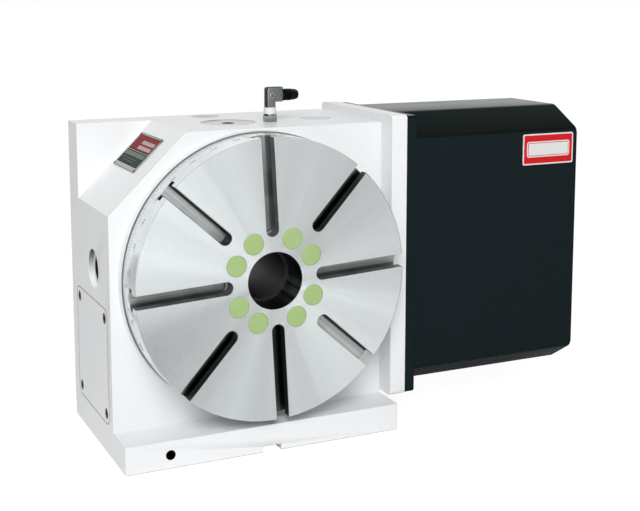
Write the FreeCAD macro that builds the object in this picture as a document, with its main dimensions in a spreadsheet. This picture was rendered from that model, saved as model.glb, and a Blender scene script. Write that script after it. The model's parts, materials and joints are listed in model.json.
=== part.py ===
"""CNC rotary table: housing, worm-driven T-slot faceplate, hydraulic brake and covered servo drive.

Frame, in millimetres: +Z is up from the base face, the spindle axis runs along Y and the faceplate faces -Y,
and the motor cover lies at +X. The origin is on the base face, under the spindle axis, at mid-depth of the base.
"""
import math
import os
from types import SimpleNamespace

import FreeCAD, Part
import Sketcher
from FreeCAD import Placement, Rotation, Vector

SIZES = {
    # Base and housing block
    "base_left": 136,
    "base_depth": 176,
    "base_thickness": 25,
    "base_corner": 1.5,
    "base_ledge": 38,
    "plate_base_gap": 7.5,
    "rear_plate_depth": 33,
    "housing_top_margin": 2.5,
    "chamfer_width": 72,
    "chamfer_drop": 70,
    "key_slot_width": 18,
    "key_slot_depth": 5.5,
    "key_slot_length": 50,
    "front_hole_offset": 95.6,
    "front_hole_height": 12.3,
    "front_hole_radius": 4.25,
    "front_hole_depth": 20,
    # Faceplate
    "plate_diameter": 255,
    "plate_thickness": 37,
    "plate_gap": 1,
    "plate_chamfer": 0.8,
    "slot_overrun": 5,
    "boss_overhang": 1.2,
    "boss_height": 10,
    "bore_radius": 26,
    "rest_angle": 3,
    "slot_neck_width": 12,
    "slot_neck_depth": 10,
    "slot_head_width": 20,
    "slot_head_depth": 8,
    "cross_neck_centre": 45.7,
    "diagonal_neck_centre": 62.4,
    "cross_head_centre": 52,
    "diagonal_head_centre": 66,
    "bolt_circle": 40,
    "bolt_half_angle": 17.6,
    "plug_radius": 9.4,
    "plug_thickness": 5,
    "plug_well_radius": 9.5,
    "plug_well_depth": 18,
    "bolt_radius": 5,
    "bolt_head_radius": 8,
    "bolt_head_length": 10,
    "bolt_grip": 11,
    # Spindle
    "nose_radius": 30,
    "nose_length": 5,
    "spindle_flange_radius": 56,
    "spindle_flange_length": 15,
    "journal_radius": 45,
    "rear_journal_radius": 37.5,
    "tail_radius": 36,
    "tail_inset": 4,
    "through_radius": 23,
    # Main bearings and seals
    "front_race_radius": 57,
    "front_bearing_radius": 70,
    "front_bearing_width": 26,
    "rear_race_radius": 47,
    "rear_bearing_radius": 62.5,
    "rear_bearing_width": 20,
    "running_gap": 0.08,
    "seal_outer_radius": 68,
    "seal_width": 11,
    "seal_inset": 1,
    # Hydraulic brake
    "cavity_radius": 80,
    "reaction_width": 5.5,
    "reaction_gap": 0.5,
    "brake_gap": 0.5,
    "spacer_radius": 54,
    "brake_disc_radius": 76,
    "brake_disc_width": 5,
    "piston_inner_radius": 62,
    "piston_outer_radius": 76,
    "piston_gap": 0.05,
    "piston_width": 5.5,
    "chamber_depth": 6,
    "cylinder_inner_radius": 60,
    "cylinder_width": 10,
    "cylinder_lip_radius": 77,
    # Worm wheel and worm
    "wheel_teeth": 72,
    "wheel_module": 2,
    "wheel_hub_radius": 58,
    "wheel_rim_offset": 18,
    "wheel_rim_width": 26,
    "wheel_hub_tail": 3,
    "wheel_backlash": 0.3,
    "wheel_key_width": 12,
    "wheel_key_height": 8,
    "wheel_key_length": 36,
    "key_overcut": 1,
    "worm_pitch_radius": 18,
    "worm_turns": 9,
    "tunnel_radius": 27,
    "worm_bearing_radius": 31,
    "worm_race_radius": 21,
    "worm_journal_radius": 15,
    "worm_shoulder_radius": 17,
    "worm_left_bearing": 16,
    "worm_right_bearing": 32,
    "worm_left_retainer": 18,
    "worm_right_retainer": 5,
    "retainer_lip": 2,
    "worm_seal_front": 2,
    "worm_seal_rear": 3,
    "worm_nut_radius": 20,
    "worm_nut_length": 10,
    "worm_tail_radius": 14,
    "worm_tail_length": 13,
    "worm_nose_radius": 12,
    "worm_thread_radius": 10,
    "sleeve_radius": 16,
    # Rear carrier and cover
    "recess_radius": 96,
    "recess_depth": 26,
    "carrier_fit": 1,
    "carrier_flange": 18,
    "carrier_pilot": 22,
    "carrier_mouth_radius": 54,
    "carrier_bolt_inset": 7,
    "rear_cover_clearance": 3,
    "rear_cover_width": 6,
    "rear_cover_bolt_inset": 10,
    "rear_seal_radius": 46,
    "locknut_radius": 50,
    "locknut_width": 12,
    # Home switch
    "dog_inner_gap": 1.5,
    "dog_depth": 5,
    "dog_width": 8,
    "dog_height": 3.4,
    "sensor_radius": 4,
    "sensor_circle": 71,
    "sensor_gap": 0.8,
    "sensor_length": 36,
    "sensor_angle": 90,
    # Side cover, sight glass, top fittings
    "side_cover_front": -38,
    "side_cover_rear": 70,
    "side_cover_bottom": 27,
    "side_cover_top": 134,
    "side_cover_depth": 10,
    "side_cover_corner": 9,
    "side_cover_gap": 0.4,
    "side_screw_inset": 9.5,
    "sight_y": 6,
    "sight_rise": 2.6,
    "sight_radius": 18,
    "sight_depth": 8,
    "sight_glass_width": 3,
    "eye_x": -4,
    "eye_y": 6,
    "eye_spot_radius": 26,
    "eye_spot_depth": 0.6,
    "eye_hole_radius": 6,
    "eye_hole_depth": 24,
    "top_plug_x": -5,
    "top_plug_y": 66.6,
    "top_plug_radius": 14,
    "top_plug_depth": 8,
    "window_inset": 42,
    "window_y": 8,
    "window_radius": 15,
    "window_depth": 6,
    "port_x": 35.3,
    "port_y": -2.5,
    "port_radius": 5,
    "port_depth": 22,
    "elbow_hex_radius": 6.8,
    "elbow_hex_height": 6,
    "elbow_neck_radius": 4.2,
    "elbow_band_radius": 5.9,
    "elbow_band_height": 7.6,
    "elbow_block": 9,
    "elbow_block_height": 19.1,
    "elbow_arm_rise": 11.4,
    "elbow_leg_height": 14,
    "elbow_thread_start": 11.9,
    "elbow_thread_radius": 5.65,
    "elbow_thread_length": 9.4,
    "elbow_tip_length": 6.9,
    "elbow_tip_radius": 3.4,
    "elbow_bore_radius": 2.4,
    # Nameplate on the corner chamfer
    "nameplate_start": 44.8,
    "nameplate_width": 40.7,
    "nameplate_front": -22,
    "nameplate_rear": 46.5,
    "nameplate_thickness": 1,
    "nameplate_corner": 2,
    # Drive flange and motor cover
    "drive_gap": 1.5,
    "drive_width": 16,
    "drive_front_step": 22.5,
    "drive_rear_inset": 6,
    "drive_worm_drop": 42,
    "drive_top_step": 8,
    "drive_corner": 4,
    "drive_hole_radius": 24,
    "drive_screw_front": 10,
    "drive_screw_rear": 18,
    "drive_screw_bottom": 22,
    "drive_screw_top": 20,
    "strip_width": 10,
    "strip_bottom_rise": 0.5,
    "strip_top_drop": 1,
    "cover_length": 188,
    "cover_front_step": 2.5,
    "cover_rear_step": 4,
    "cover_top_front": 39,
    "cover_top_rear": 31,
    "cover_top_drop": 21,
    "cover_bottom_run": 32,
    "cover_bottom_rise": 20.5,
    "cover_wall": 3,
    "cover_edge": 3,
    "cover_rise": 2,
    "cover_screw_side": 6.5,
    "cover_screw_bottom": 6,
    "cover_screw_top": 5.5,
    # Drive gears and servo motor
    "gear_module": 2,
    "worm_gear_teeth": 31,
    "pinion_teeth": 30,
    "gear_width": 12,
    "gear_backlash": 0.24,
    "gear_start": 11,
    "gear_nut_length": 7,
    "motor_y_offset": -11,
    "motor_z_offset": 60,
    "pillar_length": 32,
    "pillar_radius": 7,
    "pillar_screw_radius": 3,
    "pillar_half_y": 51,
    "pillar_half_z": 49,
    "motor_plate_width": 10,
    "motor_plate_margin": 8,
    "motor_flange_step": 5,
    "motor_flange_width": 12,
    "motor_body": 90,
    "motor_body_chamfer": 18,
    "encoder_gap": 10,
    "motor_pilot_radius": 40,
    "motor_pilot_length": 4,
    "motor_screw_inset": 4,
    "motor_shaft_radius": 9.5,
    "motor_shaft_inside": 60,
    "shaft_gap": 0.05,
    "encoder_side": 70,
    "encoder_length": 24,
    "gland_y": 40,
    "gland_z": 80,
    "gland_radius": 9,
    "gland_length": 16,
    "gland_wall": 3,
    "gland_nut_radius": 12,
    "gland_nut_width": 5,
    # Screws
    "small_screw_radius": 2.5,
    "small_head_radius": 4.25,
    "small_head_length": 3,
    "mid_screw_radius": 3,
    "mid_head_radius": 5,
    "mid_head_length": 6,
    "large_screw_radius": 4,
    "large_head_radius": 6.5,
    "large_head_length": 8,
    "screw_reach": 14,
}


class Dim:
    """A size with its value and the spreadsheet expression that gives it."""

    def __init__(self, value, text=None):
        self.value = float(value)
        self.text = text if text is not None else repr(float(value))
        self.fixed = text is None

    def _join(self, other, sign, value):
        other = dim(other)
        return Dim(value(self.value, other.value), f"({self.text} {sign} {other.text})")

    def __add__(self, other):
        return self._join(other, "+", lambda a, b: a + b)

    def __sub__(self, other):
        return self._join(other, "-", lambda a, b: a - b)

    def __mul__(self, other):
        return self._join(other, "*", lambda a, b: a * b)

    def __truediv__(self, other):
        return self._join(other, "/", lambda a, b: a / b)

    def __radd__(self, other):
        return dim(other) + self

    def __rsub__(self, other):
        return dim(other) - self

    def __rmul__(self, other):
        return dim(other) * self

    def __neg__(self):
        return Dim(-self.value, f"(0 - {self.text})")


def dim(size):
    """Give a plain number the same form as a size."""
    return size if isinstance(size, Dim) else Dim(size)


def cosine(angle):
    """Cosine of an angle in degrees, as a size."""
    angle = dim(angle)
    return Dim(math.cos(math.radians(angle.value)), f"cos({angle.text} * 1 deg)")


def sine(angle):
    """Sine of an angle in degrees, as a size."""
    angle = dim(angle)
    return Dim(math.sin(math.radians(angle.value)), f"sin({angle.text} * 1 deg)")


doc = FreeCAD.newDocument("rotary_table")
sheet = doc.addObject("Spreadsheet::Sheet", "Sizes")
for row, (alias, number) in enumerate(SIZES.items(), 1):
    sheet.set(f"A{row}", alias)
    sheet.set(f"B{row}", str(number))
    sheet.setAlias(f"B{row}", alias)
doc.recompute()
s = SimpleNamespace(**{alias: Dim(sheet.get(alias), f"Sizes.{alias}") for alias in SIZES})
NODES = []


# Sketch and feature helpers
def bind(owner, prop, size):
    """Set a property from a size and keep it tied to the sheet."""
    size = dim(size)
    if size.fixed:
        return
    owner.setExpression(prop, size.text)


def datum(sketch, kind, point, size):
    """Place a sketch point at a coordinate measured from the sketch origin."""
    size = dim(size)
    index = sketch.addConstraint(Sketcher.Constraint(kind, -1, 1, *point, size.value))
    bind(sketch, f"Constraints[{index}]", size)


def radius(sketch, curve, size):
    """Give a circle or an arc its radius."""
    size = dim(size)
    index = sketch.addConstraint(Sketcher.Constraint("Radius", curve, size.value))
    bind(sketch, f"Constraints[{index}]", size)


def put(sketch, point, across, up):
    """Fix a sketch point by both of its coordinates."""
    datum(sketch, "DistanceX", point, across)
    datum(sketch, "DistanceY", point, up)


def outline(sketch, points):
    """Draw a closed outline of straight edges through the points."""
    corners = [Vector(dim(across).value, dim(up).value, 0) for across, up in points]
    edges = [sketch.addGeometry(Part.LineSegment(a, b)) for a, b in zip(corners, corners[1:] + corners[:1])]
    for edge, following in zip(edges, edges[1:] + edges[:1]):
        sketch.addConstraint(Sketcher.Constraint("Coincident", edge, 2, following, 1))
    for edge, (across, up) in zip(edges, points):
        put(sketch, (edge, 1), across, up)


def circle(sketch, across, up, size):
    """Draw a circle."""
    centre = Vector(dim(across).value, dim(up).value, 0)
    curve = sketch.addGeometry(Part.Circle(centre, Vector(0, 0, 1), dim(size).value))
    put(sketch, (curve, 3), across, up)
    radius(sketch, curve, size)


def rounded(sketch, low, high, corner):
    """Draw a rectangle between two corners with rounded corners."""
    centres = [(high[0] - corner, high[1] - corner), (low[0] + corner, high[1] - corner),
               (low[0] + corner, low[1] + corner), (high[0] - corner, low[1] + corner)]
    size = dim(corner).value
    arcs = []
    for turn, (across, up) in enumerate(centres):
        middle = Part.Circle(Vector(dim(across).value, dim(up).value, 0), Vector(0, 0, 1), size)
        arcs.append(sketch.addGeometry(Part.ArcOfCircle(middle, turn * math.pi / 2, (turn + 1) * math.pi / 2)))
    for arc, following in zip(arcs, arcs[1:] + arcs[:1]):
        edge = sketch.addGeometry(Part.LineSegment(sketch.getPoint(arc, 2), sketch.getPoint(following, 1)))
        sketch.addConstraint(Sketcher.Constraint("Tangent", arc, 2, edge, 1))
        sketch.addConstraint(Sketcher.Constraint("Tangent", edge, 2, following, 1))
    for arc, (across, up) in zip(arcs, centres):
        put(sketch, (arc, 3), across, up)
        radius(sketch, arc, corner)


def round_end_slot(sketch, start, end, width):
    """Draw a slot along the sketch's first axis, round at its start and square at its end."""
    start, end, half = dim(start), dim(end), dim(width) / 2
    ring = Part.Circle(Vector(start.value, 0, 0), Vector(0, 0, 1), half.value)
    arc = sketch.addGeometry(Part.ArcOfCircle(ring, math.pi / 2, 3 * math.pi / 2))
    corners = [Vector(start.value, half.value, 0), Vector(end.value, half.value, 0),
               Vector(end.value, -half.value, 0), Vector(start.value, -half.value, 0)]
    upper, closing, lower = [sketch.addGeometry(Part.LineSegment(a, b)) for a, b in zip(corners, corners[1:])]
    sketch.addConstraint(Sketcher.Constraint("Tangent", arc, 1, upper, 1))
    sketch.addConstraint(Sketcher.Constraint("Coincident", upper, 2, closing, 1))
    sketch.addConstraint(Sketcher.Constraint("Coincident", closing, 2, lower, 1))
    sketch.addConstraint(Sketcher.Constraint("Tangent", lower, 2, arc, 2))
    sketch.addConstraint(Sketcher.Constraint("Vertical", closing))
    put(sketch, (arc, 3), start, 0)
    radius(sketch, arc, half)
    sketch.addConstraint(Sketcher.Constraint("Horizontal", upper))
    datum(sketch, "DistanceX", (upper, 2), end)


def place(owner, x=0, y=0, z=0, turn=None):
    """Place a body or a primitive, tied to the sheet."""
    owner.Placement = Placement(Vector(dim(x).value, dim(y).value, dim(z).value), turn or Rotation())
    for axis, size in zip("xyz", (x, y, z)):
        bind(owner, f"Placement.Base.{axis}", size)


def new_body(label, x=0, y=0, z=0, turn=None):
    """Start a body."""
    body = doc.addObject("PartDesign::Body", label)
    body.AllowCompound = True
    place(body, x, y, z, turn)
    return body


def origin(body, role):
    """One of a body's own origin planes or axes."""
    return next(feature for feature in body.Origin.OriginFeatures if feature.Role == role)


def sketch_on(body, role, x=0, y=0, offset=0, turn=0):
    """Start a sketch on one of the body's planes, moved along and across it."""
    sketch = body.newObject("Sketcher::SketchObject", f"{body.Name}_sketch")
    sketch.AttachmentSupport = [(origin(body, role), "")]
    sketch.MapMode = "FlatFace"
    base = Vector(dim(x).value, dim(y).value, dim(offset).value)
    sketch.AttachmentOffset = Placement(base, Rotation(Vector(0, 0, 1), turn))
    for axis, size in zip("xyz", (x, y, offset)):
        bind(sketch, f"AttachmentOffset.Base.{axis}", size)
    return sketch


def pad(body, sketch, length):
    """Raise a sketch along its plane's direction."""
    feature = body.newObject("PartDesign::Pad", f"{body.Name}_pad")
    feature.Profile = sketch
    feature.Length = dim(length).value
    bind(feature, "Length", length)
    return feature


def pocket(body, sketch, depth, back=False):
    """Cut a sketch into the body, against its plane's direction or along it."""
    feature = body.newObject("PartDesign::Pocket", f"{body.Name}_pocket")
    feature.Profile = sketch
    feature.Length = dim(depth).value
    feature.Reversed = back
    bind(feature, "Length", depth)
    return feature


def revolve(body, sketch, axis, kind="Revolution"):
    """Turn a sketch about one of its own axes, adding or cutting."""
    feature = body.newObject(f"PartDesign::{kind}", f"{body.Name}_{kind.lower()}")
    feature.Profile = sketch
    feature.ReferenceAxis = (sketch, [axis])
    feature.Angle = 360
    return feature


def polar(body, features, count, role="Y_Axis"):
    """Repeat features about one of the body's axes."""
    feature = body.newObject("PartDesign::PolarPattern", f"{body.Name}_pattern")
    feature.Originals = features
    feature.Axis = (origin(body, role), [""])
    feature.Angle = 360
    feature.Occurrences = count
    body.Tip = feature
    return feature


def add(label, item):
    """Enter a finished sub-part under its node name."""
    item.Label = label
    NODES.append((label, item))
    return item


def spindle_turned(label, profile, turn=None):
    """A part turned about the spindle axis, from (radius, y) points."""
    body = new_body(label, 0, 0, centre_height, turn)
    sketch = sketch_on(body, "XY_Plane")
    outline(sketch, profile)
    revolve(body, sketch, "V_Axis")
    return add(label, body)


def spindle_ring(label, inner, outer, front, rear):
    """A plain ring about the spindle axis."""
    return spindle_turned(label, [(inner, front), (outer, front), (outer, rear), (inner, rear)])


def cross_turned(label, y, z, *profiles):
    """A part turned about an axis along X, from (x, radius) points."""
    body = new_body(label, 0, y, z)
    for profile in profiles:
        sketch = sketch_on(body, "XY_Plane")
        outline(sketch, profile)
        revolve(body, sketch, "H_Axis")
    return add(label, body)


def band(start, end, inner, outer):
    """Ring section for a part turned about X."""
    return [(start, inner), (end, inner), (end, outer), (start, outer)]


TURNS = {"-Y": Rotation(Vector(1, 0, 0), -90), "+Y": Rotation(Vector(1, 0, 0), 90),
         "+X": Rotation(Vector(0, 1, 0), -90), "-X": Rotation(Vector(0, 1, 0), 90)}


def screws(label, way, spots, shank_radius, head_radius, head_length, reach, socket=True):
    """Socket-head screws: each spot is the middle of a head's outer face, and way is where the heads point."""
    group = []
    for x, y, z in spots:
        head = doc.addObject("Part::Cylinder", f"{label}_head")
        shank = doc.addObject("Part::Cylinder", f"{label}_shank")
        for item, size, length in ((head, head_radius, head_length), (shank, shank_radius, head_length + reach)):
            item.Radius = dim(size).value
            item.Height = dim(length).value
            bind(item, "Radius", size)
            bind(item, "Height", length)
            place(item, x, y, z, TURNS[way])
        whole = doc.addObject("Part::MultiFuse", f"{label}_screw")
        whole.Shapes = [head, shank]
        if socket:
            key = doc.addObject("Part::Prism", f"{label}_socket")
            key.Polygon = 6
            bind(key, "Circumradius", head_radius * 0.58)
            bind(key, "Height", head_length * 0.55)
            place(key, x, y, z, TURNS[way])
            drilled = doc.addObject("Part::Cut", f"{label}_drilled")
            drilled.Base = whole
            drilled.Tool = key
            whole = drilled
        group.append(whole)
    bundle = doc.addObject("Part::Compound", label)
    bundle.Links = group
    return add(label, bundle)


def drill(body, role, offset, spots, size, depth, back=False):
    """Cut round holes of one size and depth."""
    sketch = sketch_on(body, role, 0, 0, offset)
    for across, up in spots:
        circle(sketch, across, up, size)
    return pocket(body, sketch, depth, back)


def corners_of(low, high):
    """The four corners of a rectangle."""
    return [(low[0], low[1]), (high[0], low[1]), (high[0], high[1]), (low[0], high[1])]


# Places that follow from the sizes
plate_radius = s.plate_diameter / 2
boss_radius = plate_radius + s.boss_overhang
centre_height = s.base_thickness + s.plate_base_gap + plate_radius
housing_top = centre_height + plate_radius + s.housing_top_margin
base_front = -(s.base_depth / 2)
base_rear = s.base_depth / 2
housing_front = base_front + s.base_ledge
boss_front = housing_front - s.boss_height
plate_rear = boss_front - s.plate_gap
plate_front = plate_rear - s.plate_thickness
housing_left = -s.base_left
housing_right = plate_radius + s.drive_gap
rear_plate_front = base_rear - s.rear_plate_depth
window_x = housing_right - s.window_inset
flange_rear = plate_rear + s.spindle_flange_length
front_bearing_rear = flange_rear + s.front_bearing_width
reaction_rear = front_bearing_rear + s.reaction_width
disc_front = reaction_rear + s.brake_gap
disc_rear = disc_front + s.brake_disc_width
piston_front = disc_rear + s.brake_gap
cylinder_front = piston_front + s.brake_gap
wheel_front = disc_rear
rim_front = wheel_front + s.wheel_rim_offset
rim_rear = rim_front + s.wheel_rim_width
wheel_rear = rim_rear + s.wheel_hub_tail
wheel_pitch_radius = s.wheel_teeth * s.wheel_module / 2
worm_y = rim_front + s.wheel_rim_width / 2
worm_z = centre_height - wheel_pitch_radius - s.worm_pitch_radius
rear_bearing_rear = wheel_rear + s.rear_bearing_width
recess_front = base_rear - s.recess_depth
carrier_radius = s.recess_radius - s.carrier_fit
carrier_bolt_circle = carrier_radius - s.carrier_bolt_inset
rear_cover_radius = carrier_bolt_circle - s.mid_head_radius - s.rear_cover_clearance
rear_cover_bolt_circle = rear_cover_radius - s.rear_cover_bolt_inset
carrier_rear = recess_front + s.carrier_flange
carrier_front = recess_front - s.carrier_pilot
rear_cover_rear = carrier_rear + s.rear_cover_width
tail_end = base_rear - s.tail_inset
side_floor = housing_left + s.side_cover_depth
worm_left = side_floor + s.worm_left_retainer
worm_inner_left = worm_left + s.worm_left_bearing
worm_right = housing_right - s.worm_right_retainer
worm_inner_right = worm_right - s.worm_right_bearing
drive_right = housing_right + s.drive_width
strip_right = drive_right + s.strip_width
cover_end = strip_right + s.cover_length
drive_front = housing_front - s.drive_front_step
drive_rear = base_rear - s.drive_rear_inset
drive_bottom = worm_z - s.drive_worm_drop
drive_top = housing_top + s.drive_top_step
cover_front = drive_front + s.cover_front_step
cover_rear = drive_rear - s.cover_rear_step
cover_bottom = drive_bottom + s.strip_bottom_rise + s.cover_rise
cover_top = drive_top - s.strip_top_drop
motor_y = worm_y + s.motor_y_offset
motor_z = worm_z + s.motor_z_offset
motor_flange = s.motor_body + s.motor_flange_step * 2
motor_screw_half = s.motor_body / 2 - s.motor_screw_inset
gear_front = drive_right + s.gear_start
gear_rear = gear_front + s.gear_width
motor_plate_left = drive_right + s.pillar_length
motor_plate_right = motor_plate_left + s.motor_plate_width
motor_body_left = motor_plate_right + s.motor_flange_width
motor_body_right = cover_end - s.cover_wall - s.encoder_gap - s.encoder_length

# Screw places shared by the screws and by the pieces that they hold
side_screw_spots = corners_of((s.side_cover_front + s.side_screw_inset, s.side_cover_bottom + s.side_screw_inset),
                              (s.side_cover_rear - s.side_screw_inset, s.side_cover_top - s.side_screw_inset))
drive_screw_spots = corners_of((housing_front + s.drive_screw_front, drive_bottom + s.drive_screw_bottom),
                               (base_rear - s.drive_screw_rear, housing_top - s.drive_screw_top))
pillar_spots = corners_of((motor_y - s.pillar_half_y, motor_z - s.pillar_half_z),
                          (motor_y + s.pillar_half_y, motor_z + s.pillar_half_z))
motor_screw_spots = corners_of((motor_y - motor_screw_half, motor_z - motor_screw_half),
                               (motor_y + motor_screw_half, motor_z + motor_screw_half))
cover_screw_spots = corners_of((drive_front + s.cover_screw_side, cover_bottom + s.cover_screw_bottom),
                               (drive_rear - s.cover_screw_side, cover_top - s.cover_screw_top))
CARRIER_ANGLES = [22.5 + 45 * step for step in range(8)]
REAR_COVER_ANGLES = [60 * step for step in range(6)]


def around(circle_radius, angles):
    """Places on a circle about the spindle axis, as (across, up from the axis)."""
    return [(circle_radius * cosine(angle), circle_radius * sine(angle)) for angle in angles]


carrier_spots = around(carrier_bolt_circle, CARRIER_ANGLES)
rear_cover_spots = around(rear_cover_bolt_circle, REAR_COVER_ANGLES)
sensor_spot = around(s.sensor_circle, [s.sensor_angle])[0]


# Housing: base, block with a corner chamfer, full rear plate and front boss
housing = new_body("housing")
sketch = sketch_on(housing, "XY_Plane")
rounded(sketch, (housing_left, base_front), (housing_right, base_rear), s.base_corner)
pad(housing, sketch, s.base_thickness)
sketch = sketch_on(housing, "XZ_Plane", 0, 0, -rear_plate_front)
outline(sketch, [(housing_left, s.base_thickness / 2), (housing_right, s.base_thickness / 2),
                 (housing_right, housing_top), (housing_left + s.chamfer_width, housing_top),
                 (housing_left, housing_top - s.chamfer_drop)])
pad(housing, sketch, rear_plate_front - housing_front)
sketch = sketch_on(housing, "XZ_Plane", 0, 0, -base_rear)
outline(sketch, corners_of((housing_left, s.base_thickness / 2), (housing_right, housing_top)))
pad(housing, sketch, s.rear_plate_depth)
sketch = sketch_on(housing, "XZ_Plane", 0, 0, -housing_front)
circle(sketch, 0, centre_height, boss_radius)
pad(housing, sketch, s.boss_height)

# Bores about the spindle axis, then the worm tunnel
sketch = sketch_on(housing, "XY_Plane", 0, 0, centre_height)
outline(sketch, [(0, boss_front), (s.seal_outer_radius, boss_front), (s.seal_outer_radius, flange_rear),
                 (s.front_bearing_radius, flange_rear), (s.front_bearing_radius, front_bearing_rear),
                 (s.cavity_radius, front_bearing_rear), (s.cavity_radius, recess_front),
                 (s.recess_radius, recess_front), (s.recess_radius, base_rear), (0, base_rear)])
revolve(housing, sketch, "V_Axis", "Groove")
sketch = sketch_on(housing, "XY_Plane", 0, worm_y, worm_z)
outline(sketch, [(side_floor, 0), (housing_right, 0), (housing_right, s.worm_bearing_radius),
                 (worm_inner_right, s.worm_bearing_radius), (worm_inner_right, s.tunnel_radius),
                 (worm_inner_left, s.tunnel_radius), (worm_inner_left, s.worm_bearing_radius),
                 (side_floor, s.worm_bearing_radius)])
revolve(housing, sketch, "H_Axis", "Groove")

# Side recesses, top fittings, front hole and key slots
sketch = sketch_on(housing, "YZ_Plane", 0, 0, housing_left)
rounded(sketch, (s.side_cover_front, s.side_cover_bottom), (s.side_cover_rear, s.side_cover_top), s.side_cover_corner)
pocket(housing, sketch, s.side_cover_depth, back=True)
drill(housing, "YZ_Plane", housing_left, [(s.sight_y, centre_height + s.sight_rise)], s.sight_radius,
      s.sight_depth, back=True)
drill(housing, "YZ_Plane", side_floor, side_screw_spots, s.small_screw_radius, s.screw_reach, back=True)
drill(housing, "XY_Plane", housing_top, [(s.eye_x, s.eye_y)], s.eye_spot_radius, s.eye_spot_depth)
drill(housing, "XY_Plane", housing_top, [(s.eye_x, s.eye_y)], s.eye_hole_radius, s.eye_hole_depth)
drill(housing, "XY_Plane", housing_top, [(s.top_plug_x, s.top_plug_y)], s.top_plug_radius, s.top_plug_depth)
drill(housing, "XY_Plane", housing_top, [(window_x, s.window_y)], s.window_radius, s.window_depth)
drill(housing, "XY_Plane", housing_top, [(s.port_x, s.port_y)], s.port_radius, s.port_depth)
drill(housing, "XZ_Plane", -base_front, [(-s.front_hole_offset, s.front_hole_height)], s.front_hole_radius,
      s.front_hole_depth)
sketch = sketch_on(housing, "XY_Plane")
for start, end in ((base_front, base_front + s.key_slot_length), (base_rear - s.key_slot_length, base_rear)):
    outline(sketch, corners_of((-s.key_slot_width / 2, start), (s.key_slot_width / 2, end)))
pocket(housing, sketch, s.key_slot_depth, back=True)
drill(housing, "YZ_Plane", housing_right, drive_screw_spots, s.large_screw_radius, s.screw_reach)
drill(housing, "XZ_Plane", -recess_front, [(x, z + centre_height) for x, z in carrier_spots], s.mid_screw_radius,
      s.screw_reach, back=True)
add("housing", housing)

# Faceplate: turned disc, T-slots, screw wells and threaded fixings
table_turn = Rotation(Vector(0, -1, 0), s.rest_angle.value)
faceplate = new_body("faceplate", 0, 0, centre_height, table_turn)
sketch = sketch_on(faceplate, "XY_Plane")
outline(sketch, [(s.bore_radius, plate_front), (plate_radius - s.plate_chamfer, plate_front),
                 (plate_radius, plate_front + s.plate_chamfer), (plate_radius, plate_rear),
                 (s.nose_radius, plate_rear), (s.nose_radius, plate_rear - s.nose_length),
                 (s.bore_radius, plate_rear - s.nose_length)])
revolve(faceplate, sketch, "V_Axis")
slot_end = plate_radius + s.slot_overrun
for neck_start, head_start, angle in ((s.cross_neck_centre, s.cross_head_centre, 0),
                                      (s.diagonal_neck_centre, s.diagonal_head_centre, 45)):
    sketch = sketch_on(faceplate, "XZ_Plane", 0, 0, -plate_front, angle)
    round_end_slot(sketch, neck_start, slot_end, s.slot_neck_width)
    neck = pocket(faceplate, sketch, s.slot_neck_depth + s.slot_head_depth / 2)
    polar(faceplate, [neck], 4)
    sketch = sketch_on(faceplate, "XZ_Plane", 0, 0, -(plate_front + s.slot_neck_depth), angle)
    round_end_slot(sketch, head_start, slot_end, s.slot_head_width)
    head = pocket(faceplate, sketch, s.slot_head_depth)
    polar(faceplate, [head], 4)
well_spots = around(s.bolt_circle, [45 - s.bolt_half_angle, 45 + s.bolt_half_angle])
well = drill(faceplate, "XZ_Plane", -plate_front, well_spots, s.plug_well_radius, s.plug_well_depth)
polar(faceplate, [well], 4)
hole = drill(faceplate, "XZ_Plane", -plate_front, well_spots, s.bolt_radius, s.plate_thickness)
polar(faceplate, [hole], 4)
add("faceplate", faceplate)

plugs = new_body("faceplate_plugs", 0, 0, centre_height, table_turn)
sketch = sketch_on(plugs, "XZ_Plane", 0, 0, -(plate_front + s.plug_thickness))
for across, up in well_spots:
    circle(sketch, across, up, s.plug_radius)
plug = pad(plugs, sketch, s.plug_thickness)
polar(plugs, [plug], 4)
add("faceplate_plugs", plugs)

bolts = new_body("faceplate_screws", 0, 0, centre_height, table_turn)
bolt_seat = plate_front + s.plug_well_depth
sketch = sketch_on(bolts, "XZ_Plane", 0, 0, -bolt_seat)
for across, up in well_spots:
    circle(sketch, across, up, s.bolt_head_radius)
bolt_head = pad(bolts, sketch, s.bolt_head_length)
sketch = sketch_on(bolts, "XZ_Plane", 0, 0, -(plate_rear + s.bolt_grip))
for across, up in well_spots:
    circle(sketch, across, up, s.bolt_radius)
bolt_shank = pad(bolts, sketch, plate_rear + s.bolt_grip - bolt_seat)
polar(bolts, [bolt_head, bolt_shank], 4)
add("faceplate_screws", bolts)

# Spindle with its nose, flange, journals, tail and tapped holes
key_centre = (wheel_front + wheel_rear) / 2
key_bottom = s.journal_radius - s.wheel_key_height / 2
spindle = new_body("spindle", 0, 0, centre_height, table_turn)
sketch = sketch_on(spindle, "XY_Plane")
outline(sketch, [(s.through_radius, plate_rear - s.nose_length), (s.nose_radius, plate_rear - s.nose_length),
                 (s.nose_radius, plate_rear), (s.spindle_flange_radius, plate_rear),
                 (s.spindle_flange_radius, flange_rear), (s.journal_radius, flange_rear),
                 (s.journal_radius, wheel_rear), (s.rear_journal_radius, wheel_rear),
                 (s.rear_journal_radius, rear_bearing_rear), (s.tail_radius, rear_bearing_rear),
                 (s.tail_radius, tail_end), (s.through_radius, tail_end)])
revolve(spindle, sketch, "V_Axis")
tapped = drill(spindle, "XZ_Plane", -plate_rear, well_spots, s.bolt_radius, s.bolt_grip)
polar(spindle, [tapped], 4)
sketch = sketch_on(spindle, "XZ_Plane", 0, 0, -(key_centre - s.wheel_key_length / 2))
outline(sketch, corners_of((-s.wheel_key_width / 2, key_bottom),
                           (s.wheel_key_width / 2, s.journal_radius + s.key_overcut)))
pocket(spindle, sketch, s.wheel_key_length)
add("spindle", spindle)

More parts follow.
